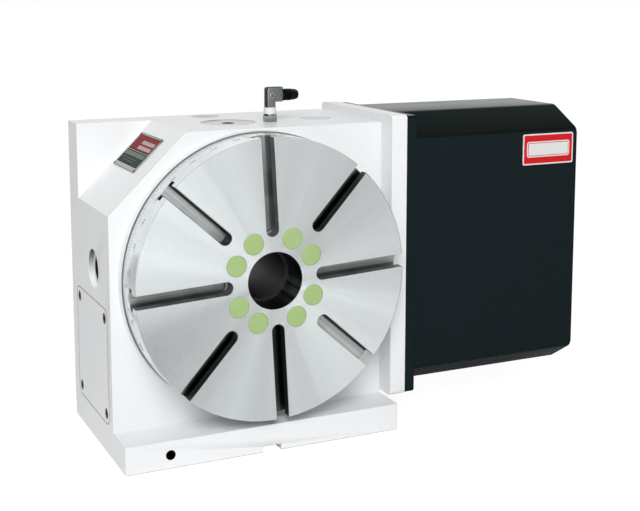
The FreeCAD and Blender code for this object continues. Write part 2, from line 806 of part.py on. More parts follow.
key = new_body("wheel_key", 0, 0, centre_height, table_turn)
sketch = sketch_on(key, "XZ_Plane", 0, 0, -(key_centre + s.wheel_key_length / 2))
outline(sketch, corners_of((-s.wheel_key_width / 2, key_bottom),
                           (s.wheel_key_width / 2, key_bottom + s.wheel_key_height)))
pad(key, sketch, s.wheel_key_length)
add("wheel_key", key)

# Main bearings, seals and brake
spindle_ring("front_bearing_inner", s.journal_radius, s.front_race_radius, flange_rear, front_bearing_rear)
spindle_ring("front_bearing_outer", s.front_race_radius + s.running_gap, s.front_bearing_radius, flange_rear,
             front_bearing_rear)
spindle_ring("front_oil_seal", s.spindle_flange_radius + s.running_gap, s.seal_outer_radius,
             flange_rear - s.seal_inset - s.seal_width, flange_rear - s.seal_inset)
spindle_ring("spindle_spacer", s.journal_radius, s.spacer_radius, front_bearing_rear, disc_front)
spindle_ring("brake_reaction_ring", s.front_race_radius + s.reaction_gap, s.cavity_radius, front_bearing_rear,
             reaction_rear)
spindle_ring("brake_disc", s.journal_radius, s.brake_disc_radius, disc_front, disc_rear)
spindle_ring("brake_piston", s.piston_inner_radius + s.piston_gap, s.piston_outer_radius - s.piston_gap,
             piston_front, piston_front + s.piston_width)
cylinder_rear = cylinder_front + s.cylinder_width
spindle_turned("brake_cylinder", [(s.cylinder_inner_radius, cylinder_front), (s.piston_inner_radius, cylinder_front),
                                  (s.piston_inner_radius, cylinder_front + s.chamber_depth),
                                  (s.piston_outer_radius, cylinder_front + s.chamber_depth),
                                  (s.piston_outer_radius, cylinder_front), (s.cylinder_lip_radius, cylinder_front),
                                  (s.cylinder_lip_radius, reaction_rear), (s.cavity_radius, reaction_rear),
                                  (s.cavity_radius, cylinder_rear), (s.cylinder_inner_radius, cylinder_rear)])
spindle_ring("rear_bearing_inner", s.rear_journal_radius, s.rear_race_radius, wheel_rear, rear_bearing_rear)
spindle_ring("rear_bearing_outer", s.rear_race_radius + s.running_gap, s.rear_bearing_radius, wheel_rear,
             rear_bearing_rear)
spindle_ring("spindle_locknut", s.tail_radius, s.locknut_radius, rear_bearing_rear,
             rear_bearing_rear + s.locknut_width)
carrier = spindle_turned("rear_carrier", [(s.rear_bearing_radius, carrier_front), (s.cavity_radius, carrier_front),
                                          (s.cavity_radius, recess_front), (carrier_radius, recess_front),
                                          (carrier_radius, carrier_rear), (s.carrier_mouth_radius, carrier_rear),
                                          (s.carrier_mouth_radius, rear_bearing_rear),
                                          (s.rear_bearing_radius, rear_bearing_rear)])
drill(carrier, "XZ_Plane", -carrier_rear, carrier_spots, s.mid_screw_radius, s.carrier_flange, back=True)
drill(carrier, "XZ_Plane", -carrier_rear, carrier_spots, s.mid_head_radius, s.mid_head_length, back=True)
drill(carrier, "XZ_Plane", -carrier_rear, rear_cover_spots, s.small_screw_radius, s.screw_reach, back=True)
drill(carrier, "XZ_Plane", -carrier_rear, [sensor_spot], s.sensor_radius, s.carrier_flange + s.carrier_pilot,
      back=True)
screws("rear_carrier_screws", "+Y", [(x, carrier_rear, z + centre_height) for x, z in carrier_spots],
       s.mid_screw_radius, s.mid_head_radius, s.mid_head_length, s.carrier_flange)
rear_cover = spindle_ring("rear_cover", s.rear_seal_radius, rear_cover_radius, carrier_rear, rear_cover_rear)
drill(rear_cover, "XZ_Plane", -rear_cover_rear, rear_cover_spots, s.small_screw_radius, s.rear_cover_width, back=True)
drill(rear_cover, "XZ_Plane", -rear_cover_rear, rear_cover_spots, s.small_head_radius, s.small_head_length, back=True)
screws("rear_cover_screws", "+Y", [(x, rear_cover_rear, z + centre_height) for x, z in rear_cover_spots],
       s.small_screw_radius, s.small_head_radius, s.small_head_length, s.rear_cover_width)
spindle_ring("rear_oil_seal", s.tail_radius + s.running_gap, s.rear_seal_radius, carrier_rear, rear_cover_rear)


# Toothed parts
def gear_outline(teeth, module, backlash, turn):
    """Tooth outline of a gear as (across, up) points, with a tooth at the given angle and involute flanks."""
    pitch = teeth * module / 2
    root, tip = pitch - 1.25 * module, pitch + module
    base = pitch * math.cos(math.radians(20))
    half = math.pi / (2 * teeth) - backlash / (2 * pitch)

    def spread(size):
        """Half angle of a tooth at a radius."""
        roll = math.acos(min(base / size, 1.0))
        return half + math.tan(math.radians(20)) - math.radians(20) - (math.tan(roll) - roll)

    flank = [root, max(pitch - 0.6 * module, base), pitch + 0.2 * module, tip]
    points = []
    for tooth in range(teeth):
        middle = turn + 2 * math.pi * tooth / teeth
        side = [(size, spread(max(size, base))) for size in flank]
        for size, angle in side:
            points.append((size * math.cos(middle - angle), size * math.sin(middle - angle)))
        for size, angle in reversed(side):
            points.append((size * math.cos(middle + angle), size * math.sin(middle + angle)))
    return points


def gear_solid(points, start, width, twist=0.0):
    """Solid of a tooth outline along X, or twisted along it by straight-lined tooth flanks."""
    wires = []
    for place_x, angle in ((start, -twist * width / 2), (start + width, twist * width / 2)):
        c, d = math.cos(angle), math.sin(angle)
        corners = [Vector(place_x, c * a - d * b, d * a + c * b) for a, b in points]
        wires.append(Part.makePolygon(corners + corners[:1]))
    if not twist:
        return Part.Face(wires[0]).extrude(Vector(width, 0, 0))
    return Part.makeLoft(wires, True, True)


def toothed(label, shape, x=0, y=0, z=0, turn=None):
    """Enter a toothed solid as a node."""
    item = doc.addObject("Part::Feature", label)
    item.Shape = shape
    place(item, x, y, z, turn)
    return add(label, item)


def tube(radius_in, radius_out, start, end):
    """Solid ring along X for joining to teeth."""
    outer = Part.makeCylinder(radius_out, end - start, Vector(start, 0, 0), Vector(1, 0, 0))
    return outer.cut(Part.makeCylinder(radius_in, end - start, Vector(start, 0, 0), Vector(1, 0, 0)))


# Worm wheel: its local X axis becomes the spindle axis
wheel_m = s.wheel_module.value
lead_turn = wheel_m / (2 * s.worm_pitch_radius.value) / wheel_pitch_radius.value
gap_down = -math.pi / 2 + math.pi / s.wheel_teeth.value
wheel_points = gear_outline(int(s.wheel_teeth.value), wheel_m, s.wheel_backlash.value, gap_down)
rim = gear_solid(wheel_points, rim_front.value, s.wheel_rim_width.value, lead_turn)
hub = Part.makeCylinder(s.wheel_hub_radius.value, (wheel_rear - wheel_front).value,
                        Vector(wheel_front.value, 0, 0), Vector(1, 0, 0))
shaft_hole = Part.makeCylinder(s.journal_radius.value, (wheel_rear - wheel_front).value,
                               Vector(wheel_front.value, 0, 0), Vector(1, 0, 0))
turn_x_to_y = Rotation(Vector(0, 0, 1), 90)
wheel_shape = rim.fuse(hub).cut(shaft_hole)
wheel_shape = wheel_shape.transformed(Placement(Vector(), turn_x_to_y).toMatrix())
key_seat = Part.makeBox(s.wheel_key_width.value, s.wheel_key_length.value, s.wheel_key_height.value,
                        Vector(-s.wheel_key_width.value / 2, (key_centre - s.wheel_key_length / 2).value,
                               key_bottom.value))
key_seat.rotate(Vector(), Vector(0, -1, 0), s.rest_angle.value)
toothed("worm_wheel", wheel_shape.cut(key_seat), 0, 0, centre_height)

dog = new_body("home_dog", 0, 0, centre_height, table_turn)
dog_bottom = s.rear_bearing_radius + s.dog_inner_gap
sketch = sketch_on(dog, "XZ_Plane", 0, 0, -(rim_rear + s.dog_height))
outline(sketch, corners_of((-s.dog_width / 2, dog_bottom), (s.dog_width / 2, dog_bottom + s.dog_depth)))
pad(dog, sketch, s.dog_height)
add("home_dog", dog)
sensor = new_body("home_sensor", 0, 0, centre_height)
sensor_front = rim_rear + s.dog_height + s.sensor_gap
sketch = sketch_on(sensor, "XZ_Plane", 0, 0, -(sensor_front + s.sensor_length))
circle(sketch, *sensor_spot, s.sensor_radius)
pad(sensor, sketch, s.sensor_length)
add("home_sensor", sensor)

# Worm shaft, its thread and the pieces along it
thread_lead = math.pi * wheel_m
thread_half = thread_lead * s.worm_turns.value / 2
thread_root = s.worm_pitch_radius.value - 1.25 * wheel_m
thread_tip = s.worm_pitch_radius.value + wheel_m


def worm_thread(steps=18):
    """Thread of the worm as a faceted solid: a 20 degree rack section carried along its helix."""
    slope = math.tan(math.radians(20))
    base_radius = thread_root - 0.4
    half_pitch_width = math.pi * wheel_m / 4 - s.wheel_backlash.value / 4
    half_root = half_pitch_width + (s.worm_pitch_radius.value - base_radius) * slope
    half_tip = half_pitch_width - wheel_m * slope
    section = ((-half_root, base_radius), (-half_tip, thread_tip), (half_tip, thread_tip), (half_root, base_radius))
    rows = []
    for step in range(int(s.worm_turns.value * steps) + 1):
        angle = 2 * math.pi * step / steps - math.pi * s.worm_turns.value
        shift = thread_lead * angle / (2 * math.pi)
        rows.append([Vector(shift + x, -r * math.sin(angle), r * math.cos(angle)) for x, r in section])
    faces = []
    for row, following in zip(rows, rows[1:]):
        for low, high in ((0, 1), (1, 2), (2, 3), (3, 0)):
            faces.append(Part.Face(Part.makePolygon([row[low], row[high], following[high], row[low]])))
            faces.append(Part.Face(Part.makePolygon([row[low], following[high], following[low], row[low]])))
    for row in (rows[0], rows[-1]):
        faces.append(Part.Face(Part.makePolygon([row[0], row[1], row[2], row[0]])))
        faces.append(Part.Face(Part.makePolygon([row[0], row[2], row[3], row[0]])))
    return Part.Solid(Part.makeShell(faces))


shaft_profile = [(worm_left - s.worm_tail_length, 0), (worm_left - s.worm_tail_length, s.worm_tail_radius),
                 (worm_left, s.worm_tail_radius), (worm_left, s.worm_journal_radius),
                 (worm_inner_left, s.worm_journal_radius), (worm_inner_left, s.worm_shoulder_radius),
                 (worm_inner_left / 2, s.worm_shoulder_radius),
                 (worm_inner_left / 2, thread_root), (worm_inner_right / 2, thread_root),
                 (worm_inner_right / 2, s.worm_shoulder_radius), (worm_inner_right, s.worm_shoulder_radius),
                 (worm_inner_right, s.worm_journal_radius), (worm_right, s.worm_journal_radius),
                 (worm_right, s.worm_nose_radius), (gear_rear, s.worm_nose_radius),
                 (gear_rear, s.worm_thread_radius), (gear_rear + s.gear_nut_length, s.worm_thread_radius),
                 (gear_rear + s.gear_nut_length, 0)]
corners = [Vector(dim(x).value, dim(r).value, 0) for x, r in shaft_profile]
bar = Part.Face(Part.makePolygon(corners + corners[:1])).revolve(Vector(), Vector(1, 0, 0), 360)
toothed("worm_shaft", bar.fuse(worm_thread()), 0, worm_y, worm_z)
cross_turned("worm_bearings_inner", worm_y, worm_z,
             band(worm_left, worm_inner_left, s.worm_journal_radius, s.worm_race_radius),
             band(worm_inner_right, worm_right, s.worm_journal_radius, s.worm_race_radius))
cross_turned("worm_bearings_outer", worm_y, worm_z,
             band(worm_left, worm_inner_left, s.worm_race_radius + s.running_gap, s.worm_bearing_radius),
             band(worm_inner_right, worm_right, s.worm_race_radius + s.running_gap, s.worm_bearing_radius))
cross_turned("worm_locknut", worm_y, worm_z,
             band(worm_left - s.worm_nut_length, worm_left, s.worm_tail_radius, s.worm_nut_radius))
cross_turned("worm_retainers", worm_y, worm_z,
             band(side_floor, worm_left, s.worm_race_radius + s.retainer_lip, s.worm_bearing_radius),
             band(worm_right, housing_right, s.worm_race_radius - s.retainer_lip, s.worm_bearing_radius))
cross_turned("worm_gear_sleeve", worm_y, worm_z, band(worm_right, gear_front, s.worm_nose_radius, s.sleeve_radius))
cross_turned("worm_oil_seal", worm_y, worm_z,
             band(housing_right + s.worm_seal_front, drive_right - s.worm_seal_rear,
                  s.sleeve_radius + s.running_gap, s.drive_hole_radius))
cross_turned("worm_gear_nut", worm_y, worm_z,
             band(gear_rear, gear_rear + s.gear_nut_length, s.worm_thread_radius, s.sleeve_radius))

# Drive gears: a tooth of the worm gear stands in a gap of the pinion
mesh_angle = math.atan2(s.motor_z_offset.value, s.motor_y_offset.value)
drive_m = s.gear_module.value
gear_points = gear_outline(int(s.worm_gear_teeth.value), drive_m, s.gear_backlash.value, mesh_angle)
pinion_turn = mesh_angle + math.pi + math.pi / s.pinion_teeth.value
pinion_points = gear_outline(int(s.pinion_teeth.value), drive_m, s.gear_backlash.value, pinion_turn)
hole = Part.makeCylinder(s.worm_nose_radius.value, s.gear_width.value, Vector(gear_front.value, 0, 0),
                         Vector(1, 0, 0))
toothed("worm_gear", gear_solid(gear_points, gear_front.value, s.gear_width.value).cut(hole), 0, worm_y, worm_z)
hole = Part.makeCylinder(s.motor_shaft_radius.value, s.gear_width.value, Vector(gear_front.value, 0, 0),
                         Vector(1, 0, 0))
toothed("motor_pinion", gear_solid(pinion_points, gear_front.value, s.gear_width.value).cut(hole), 0,
        motor_y, motor_z)

# Side cover, sight glass and top fittings
side_cover = new_body("side_cover")
sketch = sketch_on(side_cover, "YZ_Plane", 0, 0, housing_left)
rounded(sketch, (s.side_cover_front + s.side_cover_gap, s.side_cover_bottom + s.side_cover_gap),
        (s.side_cover_rear - s.side_cover_gap, s.side_cover_top - s.side_cover_gap),
        s.side_cover_corner - s.side_cover_gap)
pad(side_cover, sketch, s.side_cover_depth)
drill(side_cover, "YZ_Plane", housing_left, side_screw_spots, s.small_screw_radius, s.side_cover_depth, back=True)
drill(side_cover, "YZ_Plane", housing_left, side_screw_spots, s.mid_head_radius, s.mid_head_length, back=True)
add("side_cover", side_cover)
screws("side_cover_screws", "-X", [(housing_left, y, z) for y, z in side_screw_spots], s.small_screw_radius,
       s.mid_head_radius, s.mid_head_length, s.screw_reach)
sight_left = housing_left + s.sight_depth - s.sight_glass_width
cross_turned("side_sight_glass", s.sight_y, centre_height + s.sight_rise,
             band(sight_left, housing_left + s.sight_depth, 0, s.sight_radius))
for label, x, y, size, depth in (("top_plug", s.top_plug_x, s.top_plug_y, s.top_plug_radius, s.top_plug_depth),
                                 ("oil_level_window", window_x, s.window_y, s.window_radius, s.window_depth)):
    disc = new_body(label, x, y, housing_top - depth)
    sketch = sketch_on(disc, "XY_Plane")
    circle(sketch, 0, 0, size)
    pad(disc, sketch, depth)
    add(label, disc)

# Elbow fitting: hexagon, neck, L-shaped body and threaded arm with a bore
band_base = housing_top + s.elbow_hex_height
block_base = band_base + s.elbow_band_height
arm_height = block_base + s.elbow_arm_rise


def cylinder(label, size, length, x, y, z, turn=None):
    """A cylinder tied to the sheet."""
    item = doc.addObject("Part::Cylinder", label)
    bind(item, "Radius", size)
    bind(item, "Height", length)
    place(item, x, y, z, turn)
    return item


hexagon = doc.addObject("Part::Prism", "elbow_hexagon")
hexagon.Polygon = 6
bind(hexagon, "Circumradius", s.elbow_hex_radius)
bind(hexagon, "Height", s.elbow_hex_height)
place(hexagon, s.port_x, s.port_y, housing_top)
stub = cylinder("elbow_stub", s.port_radius, s.port_depth, s.port_x, s.port_y, housing_top - s.port_depth)
neck = cylinder("elbow_neck", s.elbow_neck_radius, s.elbow_band_height + 1, s.port_x, s.port_y, band_base)
block = doc.addObject("Part::Box", "elbow_block")
for side, size in (("Length", s.elbow_block), ("Width", s.elbow_block), ("Height", s.elbow_block_height)):
    bind(block, side, size)
place(block, s.port_x - s.elbow_block / 2, s.port_y - s.elbow_block / 2, block_base)
along_x = Rotation(Vector(0, 1, 0), 90)
arm = doc.addObject("Part::Box", "elbow_arm")
for side, size in (("Length", s.elbow_thread_start), ("Width", s.elbow_block), ("Height", s.elbow_leg_height)):
    bind(arm, side, size)
place(arm, s.port_x, s.port_y - s.elbow_block / 2, block_base + s.elbow_block_height - s.elbow_leg_height)
thread = cylinder("elbow_thread", s.elbow_thread_radius, s.elbow_thread_length, s.port_x + s.elbow_thread_start,
                  s.port_y, arm_height, along_x)
tip = doc.addObject("Part::Cone", "elbow_tip")
bind(tip, "Radius1", s.elbow_thread_radius)
bind(tip, "Radius2", s.elbow_tip_radius)
bind(tip, "Height", s.elbow_tip_length)
tip_start = s.port_x + s.elbow_thread_start + s.elbow_thread_length
place(tip, tip_start, s.port_y, arm_height, along_x)
fitting = doc.addObject("Part::MultiFuse", "elbow_fitting")
fitting.Shapes = [hexagon, stub, neck, block, arm, thread, tip]
way_in = cylinder("elbow_bore", s.elbow_bore_radius, tip_start + s.elbow_tip_length - s.port_x, s.port_x, s.port_y,
                  arm_height, along_x)
elbow = doc.addObject("Part::Cut", "hydraulic_elbow")
elbow.Base = fitting
elbow.Tool = way_in
add("hydraulic_elbow", elbow)
washer = new_body("elbow_seal_band", s.port_x, s.port_y, band_base)
sketch = sketch_on(washer, "XY_Plane")
circle(sketch, 0, 0, s.elbow_band_radius)
circle(sketch, 0, 0, s.elbow_neck_radius)
pad(washer, sketch, s.elbow_band_height)
add("elbow_seal_band", washer)

# Nameplate lying on the corner chamfer
slope = math.degrees(math.atan2(s.chamfer_drop.value, s.chamfer_width.value))
plate = new_body("nameplate", housing_left, 0, housing_top - s.chamfer_drop, Rotation(Vector(0, -1, 0), slope))
sketch = sketch_on(plate, "XY_Plane")
rounded(sketch, (s.nameplate_start, s.nameplate_front), (s.nameplate_start + s.nameplate_width, s.nameplate_rear),
        s.nameplate_corner)
pad(plate, sketch, s.nameplate_thickness)
add("nameplate", plate)

# Drive flange and motor cover
drive = new_body("drive_flange")
sketch = sketch_on(drive, "YZ_Plane", 0, 0, housing_right)
rounded(sketch, (drive_front, drive_bottom), (drive_rear, drive_top), s.drive_corner)
pad(drive, sketch, s.drive_width)
drill(drive, "YZ_Plane", drive_right, [(worm_y, worm_z)], s.drive_hole_radius, s.drive_width)
drill(drive, "YZ_Plane", drive_right, drive_screw_spots, s.large_screw_radius, s.drive_width)
drill(drive, "YZ_Plane", drive_right, drive_screw_spots, s.large_head_radius, s.large_head_length)
drill(drive, "YZ_Plane", drive_right, pillar_spots, s.pillar_screw_radius, s.screw_reach)
drill(drive, "YZ_Plane", drive_right, cover_screw_spots, s.small_screw_radius, s.screw_reach)
add("drive_flange", drive)
screws("drive_flange_screws", "+X", [(drive_right, y, z) for y, z in drive_screw_spots], s.large_screw_radius,
       s.large_head_radius, s.large_head_length, s.drive_width, socket=False)


def cover_section(inset):
    """Eight-sided section of the motor cover, drawn in by an inset."""
    front, rear = cover_front + inset, cover_rear - inset
    bottom, top = cover_bottom + inset, cover_top - inset
    ease = inset * 0.41
    return [(front + s.cover_bottom_run - ease, bottom), (rear - s.cover_bottom_run + ease, bottom),
            (rear, bottom + s.cover_bottom_rise - ease), (rear, top - s.cover_top_drop + ease),
            (rear - s.cover_top_rear + ease, top), (front + s.cover_top_front - ease, top),
            (front, top - s.cover_top_drop + ease), (front, bottom + s.cover_bottom_rise - ease)]


cover = new_body("motor_cover")
sketch = sketch_on(cover, "YZ_Plane", 0, 0, drive_right)
rounded(sketch, (drive_front, drive_bottom + s.strip_bottom_rise), (drive_rear, cover_top), s.drive_corner)
pad(cover, sketch, s.strip_width)
sketch = sketch_on(cover, "YZ_Plane", 0, 0, strip_right)
outline(sketch, cover_section(dim(0)))
shell = pad(cover, sketch, s.cover_length)
doc.recompute()
end_edges = [f"Edge{index}" for index, edge in enumerate(shell.Shape.Edges, 1)
             if all(abs(vertex.X - cover_end.value) < 1e-6 for vertex in edge.Vertexes)]
fillet = cover.newObject("PartDesign::Fillet", "cover_end_edges")
fillet.Base = (shell, end_edges)
fillet.Radius = s.cover_edge.value
bind(fillet, "Radius", s.cover_edge)
sketch = sketch_on(cover, "YZ_Plane", 0, 0, drive_right)
outline(sketch, cover_section(s.cover_wall))
pocket(cover, sketch, s.strip_width + s.cover_length - s.cover_wall * 2, back=True)
drill(cover, "YZ_Plane", strip_right, cover_screw_spots, s.small_screw_radius, s.strip_width)
drill(cover, "YZ_Plane", strip_right, cover_screw_spots, s.small_head_radius, s.small_head_length)
drill(cover, "YZ_Plane", cover_end, [(s.gland_y, s.gland_z)], s.gland_radius, s.cover_wall * 2)
add("motor_cover", cover)
screws("motor_cover_screws", "+X", [(strip_right, y, z) for y, z in cover_screw_spots],
       s.small_screw_radius, s.small_head_radius, s.small_head_length, s.strip_width)
cross_turned("cable_gland", s.gland_y, s.gland_z,
             [(cover_end - s.cover_wall * 2, s.gland_radius - s.gland_wall),
              (cover_end + s.gland_length, s.gland_radius - s.gland_wall),
              (cover_end + s.gland_length, s.gland_radius), (cover_end + s.gland_nut_width, s.gland_radius),
              (cover_end + s.gland_nut_width, s.gland_nut_radius), (cover_end, s.gland_nut_radius),
              (cover_end, s.gland_radius), (cover_end - s.cover_wall * 2, s.gland_radius)])

# Servo motor on its plate and pillars
plate_low = (motor_y - s.pillar_half_y - s.motor_plate_margin, motor_z - s.pillar_half_z - s.motor_plate_margin)
plate_high = (motor_y + s.pillar_half_y + s.motor_plate_margin, motor_z + s.pillar_half_z + s.motor_plate_margin)
motor_plate = new_body("motor_plate")
sketch = sketch_on(motor_plate, "YZ_Plane", 0, 0, motor_plate_left)
rounded(sketch, plate_low, plate_high, s.drive_corner)
pad(motor_plate, sketch, s.motor_plate_width)
drill(motor_plate, "YZ_Plane", motor_plate_right, [(motor_y, motor_z)], s.motor_pilot_radius, s.motor_plate_width)
drill(motor_plate, "YZ_Plane", motor_plate_right, pillar_spots, s.pillar_screw_radius, s.motor_plate_width)
drill(motor_plate, "YZ_Plane", motor_plate_right, pillar_spots, s.mid_head_radius, s.mid_head_length)
drill(motor_plate, "YZ_Plane", motor_plate_right, motor_screw_spots, s.mid_screw_radius, s.motor_plate_width)
add("motor_plate", motor_plate)
pillars = new_body("motor_plate_pillars")
sketch = sketch_on(pillars, "YZ_Plane", 0, 0, drive_right)
for y, z in pillar_spots:
    circle(sketch, y, z, s.pillar_radius)
    circle(sketch, y, z, s.pillar_screw_radius)
pad(pillars, sketch, s.pillar_length)
add("motor_plate_pillars", pillars)
screws("motor_plate_screws", "+X", [(motor_plate_right, y, z) for y, z in pillar_spots], s.pillar_screw_radius,
       s.mid_head_radius, s.mid_head_length, s.motor_plate_width - s.mid_head_length + s.pillar_length + 10,
       socket=False)


def square_spots(side):
    """Corner places of a square about the motor axis."""
    half = side / 2
    return (motor_y - half, motor_z - half), (motor_y + half, motor_z + half)


motor = new_body("servo_motor")
sketch = sketch_on(motor, "YZ_Plane", 0, 0, motor_plate_right)
rounded(sketch, *square_spots(motor_flange), s.drive_corner)
pad(motor, sketch, s.motor_flange_width)
sketch = sketch_on(motor, "YZ_Plane", 0, 0, motor_body_left)
half, cut = s.motor_body / 2, s.motor_body / 2 - s.motor_body_chamfer
outline(sketch, [(motor_y - cut, motor_z - half), (motor_y + cut, motor_z - half), (motor_y + half, motor_z - cut),
                 (motor_y + half, motor_z + cut), (motor_y + cut, motor_z + half), (motor_y - cut, motor_z + half),
                 (motor_y - half, motor_z + cut), (motor_y - half, motor_z - cut)])
pad(motor, sketch, motor_body_right - motor_body_left)
sketch = sketch_on(motor, "YZ_Plane", 0, 0, motor_plate_right - s.motor_pilot_length)
circle(sketch, motor_y, motor_z, s.motor_pilot_radius)
pad(motor, sketch, s.motor_pilot_length)
drill(motor, "YZ_Plane", motor_plate_right - s.motor_pilot_length, [(motor_y, motor_z)],
      s.motor_shaft_radius + s.shaft_gap, s.motor_pilot_length + s.motor_shaft_inside, back=True)
drill(motor, "YZ_Plane", motor_body_left, motor_screw_spots, s.mid_screw_radius, s.motor_flange_width)
add("servo_motor", motor)
screws("motor_screws", "+X", [(motor_body_left + s.mid_head_length, y, z) for y, z in motor_screw_spots],
       s.mid_screw_radius, s.mid_head_radius, s.mid_head_length, s.motor_flange_width + s.motor_plate_width,
       socket=False)
encoder = new_body("motor_encoder")
sketch = sketch_on(encoder, "YZ_Plane", 0, 0, motor_body_right)
rounded(sketch, *square_spots(s.encoder_side), s.drive_corner)
pad(encoder, sketch, s.encoder_length)
add("motor_encoder", encoder)
cross_turned("motor_shaft", motor_y, motor_z,
             band(gear_front, motor_plate_right + s.motor_shaft_inside - 1, 0, s.motor_shaft_radius))

# Checks and export
doc.recompute()
faults = []
for item in doc.Objects:
    if "Invalid" in item.State or "Error" in item.State:
        faults.append(f"{item.Label}: {item.State}")
for label, item in NODES:
    if item.Shape.isNull() or not item.Shape.isValid() or item.Shape.Volume <= 0:
        faults.append(f"{label}: no sound shape")
if faults:
    raise RuntimeError("; ".join(faults))
os.makedirs("parts", exist_ok=True)
for label, item in NODES:
    item.Shape.exportStep(os.path.join("parts", f"{label}.step"))
    box = item.Shape.BoundBox
    print(f"{label:22s} solids {len(item.Shape.Solids):2d} volume {item.Shape.Volume:12.1f} "
          f"x {box.XMin:8.2f} {box.XMax:8.2f} y {box.YMin:8.2f} {box.YMax:8.2f} z {box.ZMin:8.2f} {box.ZMax:8.2f}")
print(len(NODES), "nodes")
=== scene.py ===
"""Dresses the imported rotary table: castings, turned faceplate, graduated rim, printed plate and fittings."""
from __future__ import annotations

import json
import logging
import math
from abc import ABC, abstractmethod
from dataclasses import dataclass
from enum import Enum
from typing import Any, Callable, Iterable, Optional

import bmesh
import bpy
from mathutils import Matrix, Vector

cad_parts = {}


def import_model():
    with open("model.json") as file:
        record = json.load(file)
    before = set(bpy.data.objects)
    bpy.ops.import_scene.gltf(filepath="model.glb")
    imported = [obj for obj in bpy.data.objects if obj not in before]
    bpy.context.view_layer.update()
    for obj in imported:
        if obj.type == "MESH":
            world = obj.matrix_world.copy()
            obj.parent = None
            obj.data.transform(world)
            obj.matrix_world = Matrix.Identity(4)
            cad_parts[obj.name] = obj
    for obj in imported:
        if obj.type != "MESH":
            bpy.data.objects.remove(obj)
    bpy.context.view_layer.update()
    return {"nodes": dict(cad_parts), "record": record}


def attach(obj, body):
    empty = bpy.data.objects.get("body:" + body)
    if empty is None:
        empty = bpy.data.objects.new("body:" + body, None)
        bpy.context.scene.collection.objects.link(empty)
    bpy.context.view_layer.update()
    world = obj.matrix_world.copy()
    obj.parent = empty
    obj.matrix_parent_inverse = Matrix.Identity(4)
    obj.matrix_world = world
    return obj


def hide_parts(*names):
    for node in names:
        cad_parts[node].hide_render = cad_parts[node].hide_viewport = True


LOG = logging.getLogger("rotary_table")
MM = 0.001
IMAGE_WIDTH = 640
SENSOR_WIDTH = 36.0
CENTRE_HEIGHT = 0.160
RIM_RADIUS = 0.1275
REST_ANGLE = 3.0
SIGHT_CENTRE = (0.006, 0.1626)
# Half-widths of the soft edges between two finishes
CRISP = 0.0001
EASED = 0.0002
# Depths of the finest relief
PEEL_DEPTH = 0.00002
GRAIN_DEPTH = 0.00001
# Distances at which two points count as one
WELD = 1e-7
LEVEL = 1e-9

Colour = tuple[float, float, float]
Pair = tuple[float, float]
Triple = tuple[float, float, float]
HOUSING_WHITE: Colour = (0.83, 0.84, 0.85)


class Body(Enum):
    """Bodies that the pieces ride on."""

    FRAME = "frame"
    TABLE = "table"


# Shader building
class Value:
    """A shader value that takes part in Python arithmetic by adding Math nodes."""

    def __init__(self, graph: "Graph", socket: bpy.types.NodeSocket) -> None:
        """Wrap a socket of a graph."""
        self.graph = graph
        self.socket = socket

    def math(self, operation: str, *others: Any, first: Any = None) -> "Value":
        """Add a Math node.

        Args:
            operation: The Math node's operation.
            others: Values or numbers for the sockets after the first one.
            first: What goes in the first socket, or None for this value.

        Returns:
            The node's result.
        """
        values = [self if first is None else first, *others]
        node = self.graph.node("ShaderNodeMath", {"operation": operation}, dict(enumerate(values)))
        return Value(self.graph, node.outputs[0])

    def __add__(self, other: Any) -> "Value":
        """Sum."""
        return self.math("ADD", other)

    def __sub__(self, other: Any) -> "Value":
        """Difference."""
        return self.math("SUBTRACT", other)

    def __mul__(self, other: Any) -> "Value":
        """Product."""
        return self.math("MULTIPLY", other)

    def __truediv__(self, other: Any) -> "Value":
        """Quotient."""
        return self.math("DIVIDE", other)

    def __rsub__(self, other: float) -> "Value":
        """Difference from a number."""
        return self.math("SUBTRACT", self, first=other)

    def __abs__(self) -> "Value":
        """Size without the sign."""
        return self.math("ABSOLUTE")

    def sine(self) -> "Value":
        """Sine of an angle in radians."""
        return self.math("SINE")

    def either(self, other: "Value") -> "Value":
        """The larger of two values, which joins two masks."""
        return self.math("MAXIMUM", other)

    def hypot(self, other: "Value") -> "Value":
        """Distance that this value and another one span."""
        return (self * self + other * other).math("SQRT")

    def below(self, limit: float, soft: float) -> "Value":
        """One under a limit and nought over it, with a soft edge."""
        return self.ramp(limit - soft, limit + soft, 1.0, 0.0)

    def above(self, limit: float, soft: float) -> "Value":
        """One over a limit and nought under it, with a soft edge."""
        return self.ramp(limit - soft, limit + soft, 0.0, 1.0)

    def about(self, middle: float, width: float) -> "Value":
        """Carry this value, from nought to one, to a band of some width about a middle."""
        return self * width + (middle - width / 2)

    def ramp(self, low: float, high: float, start: float, end: float) -> "Value":
        """Carry a span of this value smoothly to another span."""
        sockets = {0: self, 1: low, 2: high, 3: start, 4: end}
        node = self.graph.node("ShaderNodeMapRange", {"interpolation_type": "SMOOTHSTEP"}, sockets)
        return Value(self.graph, node.outputs[0])


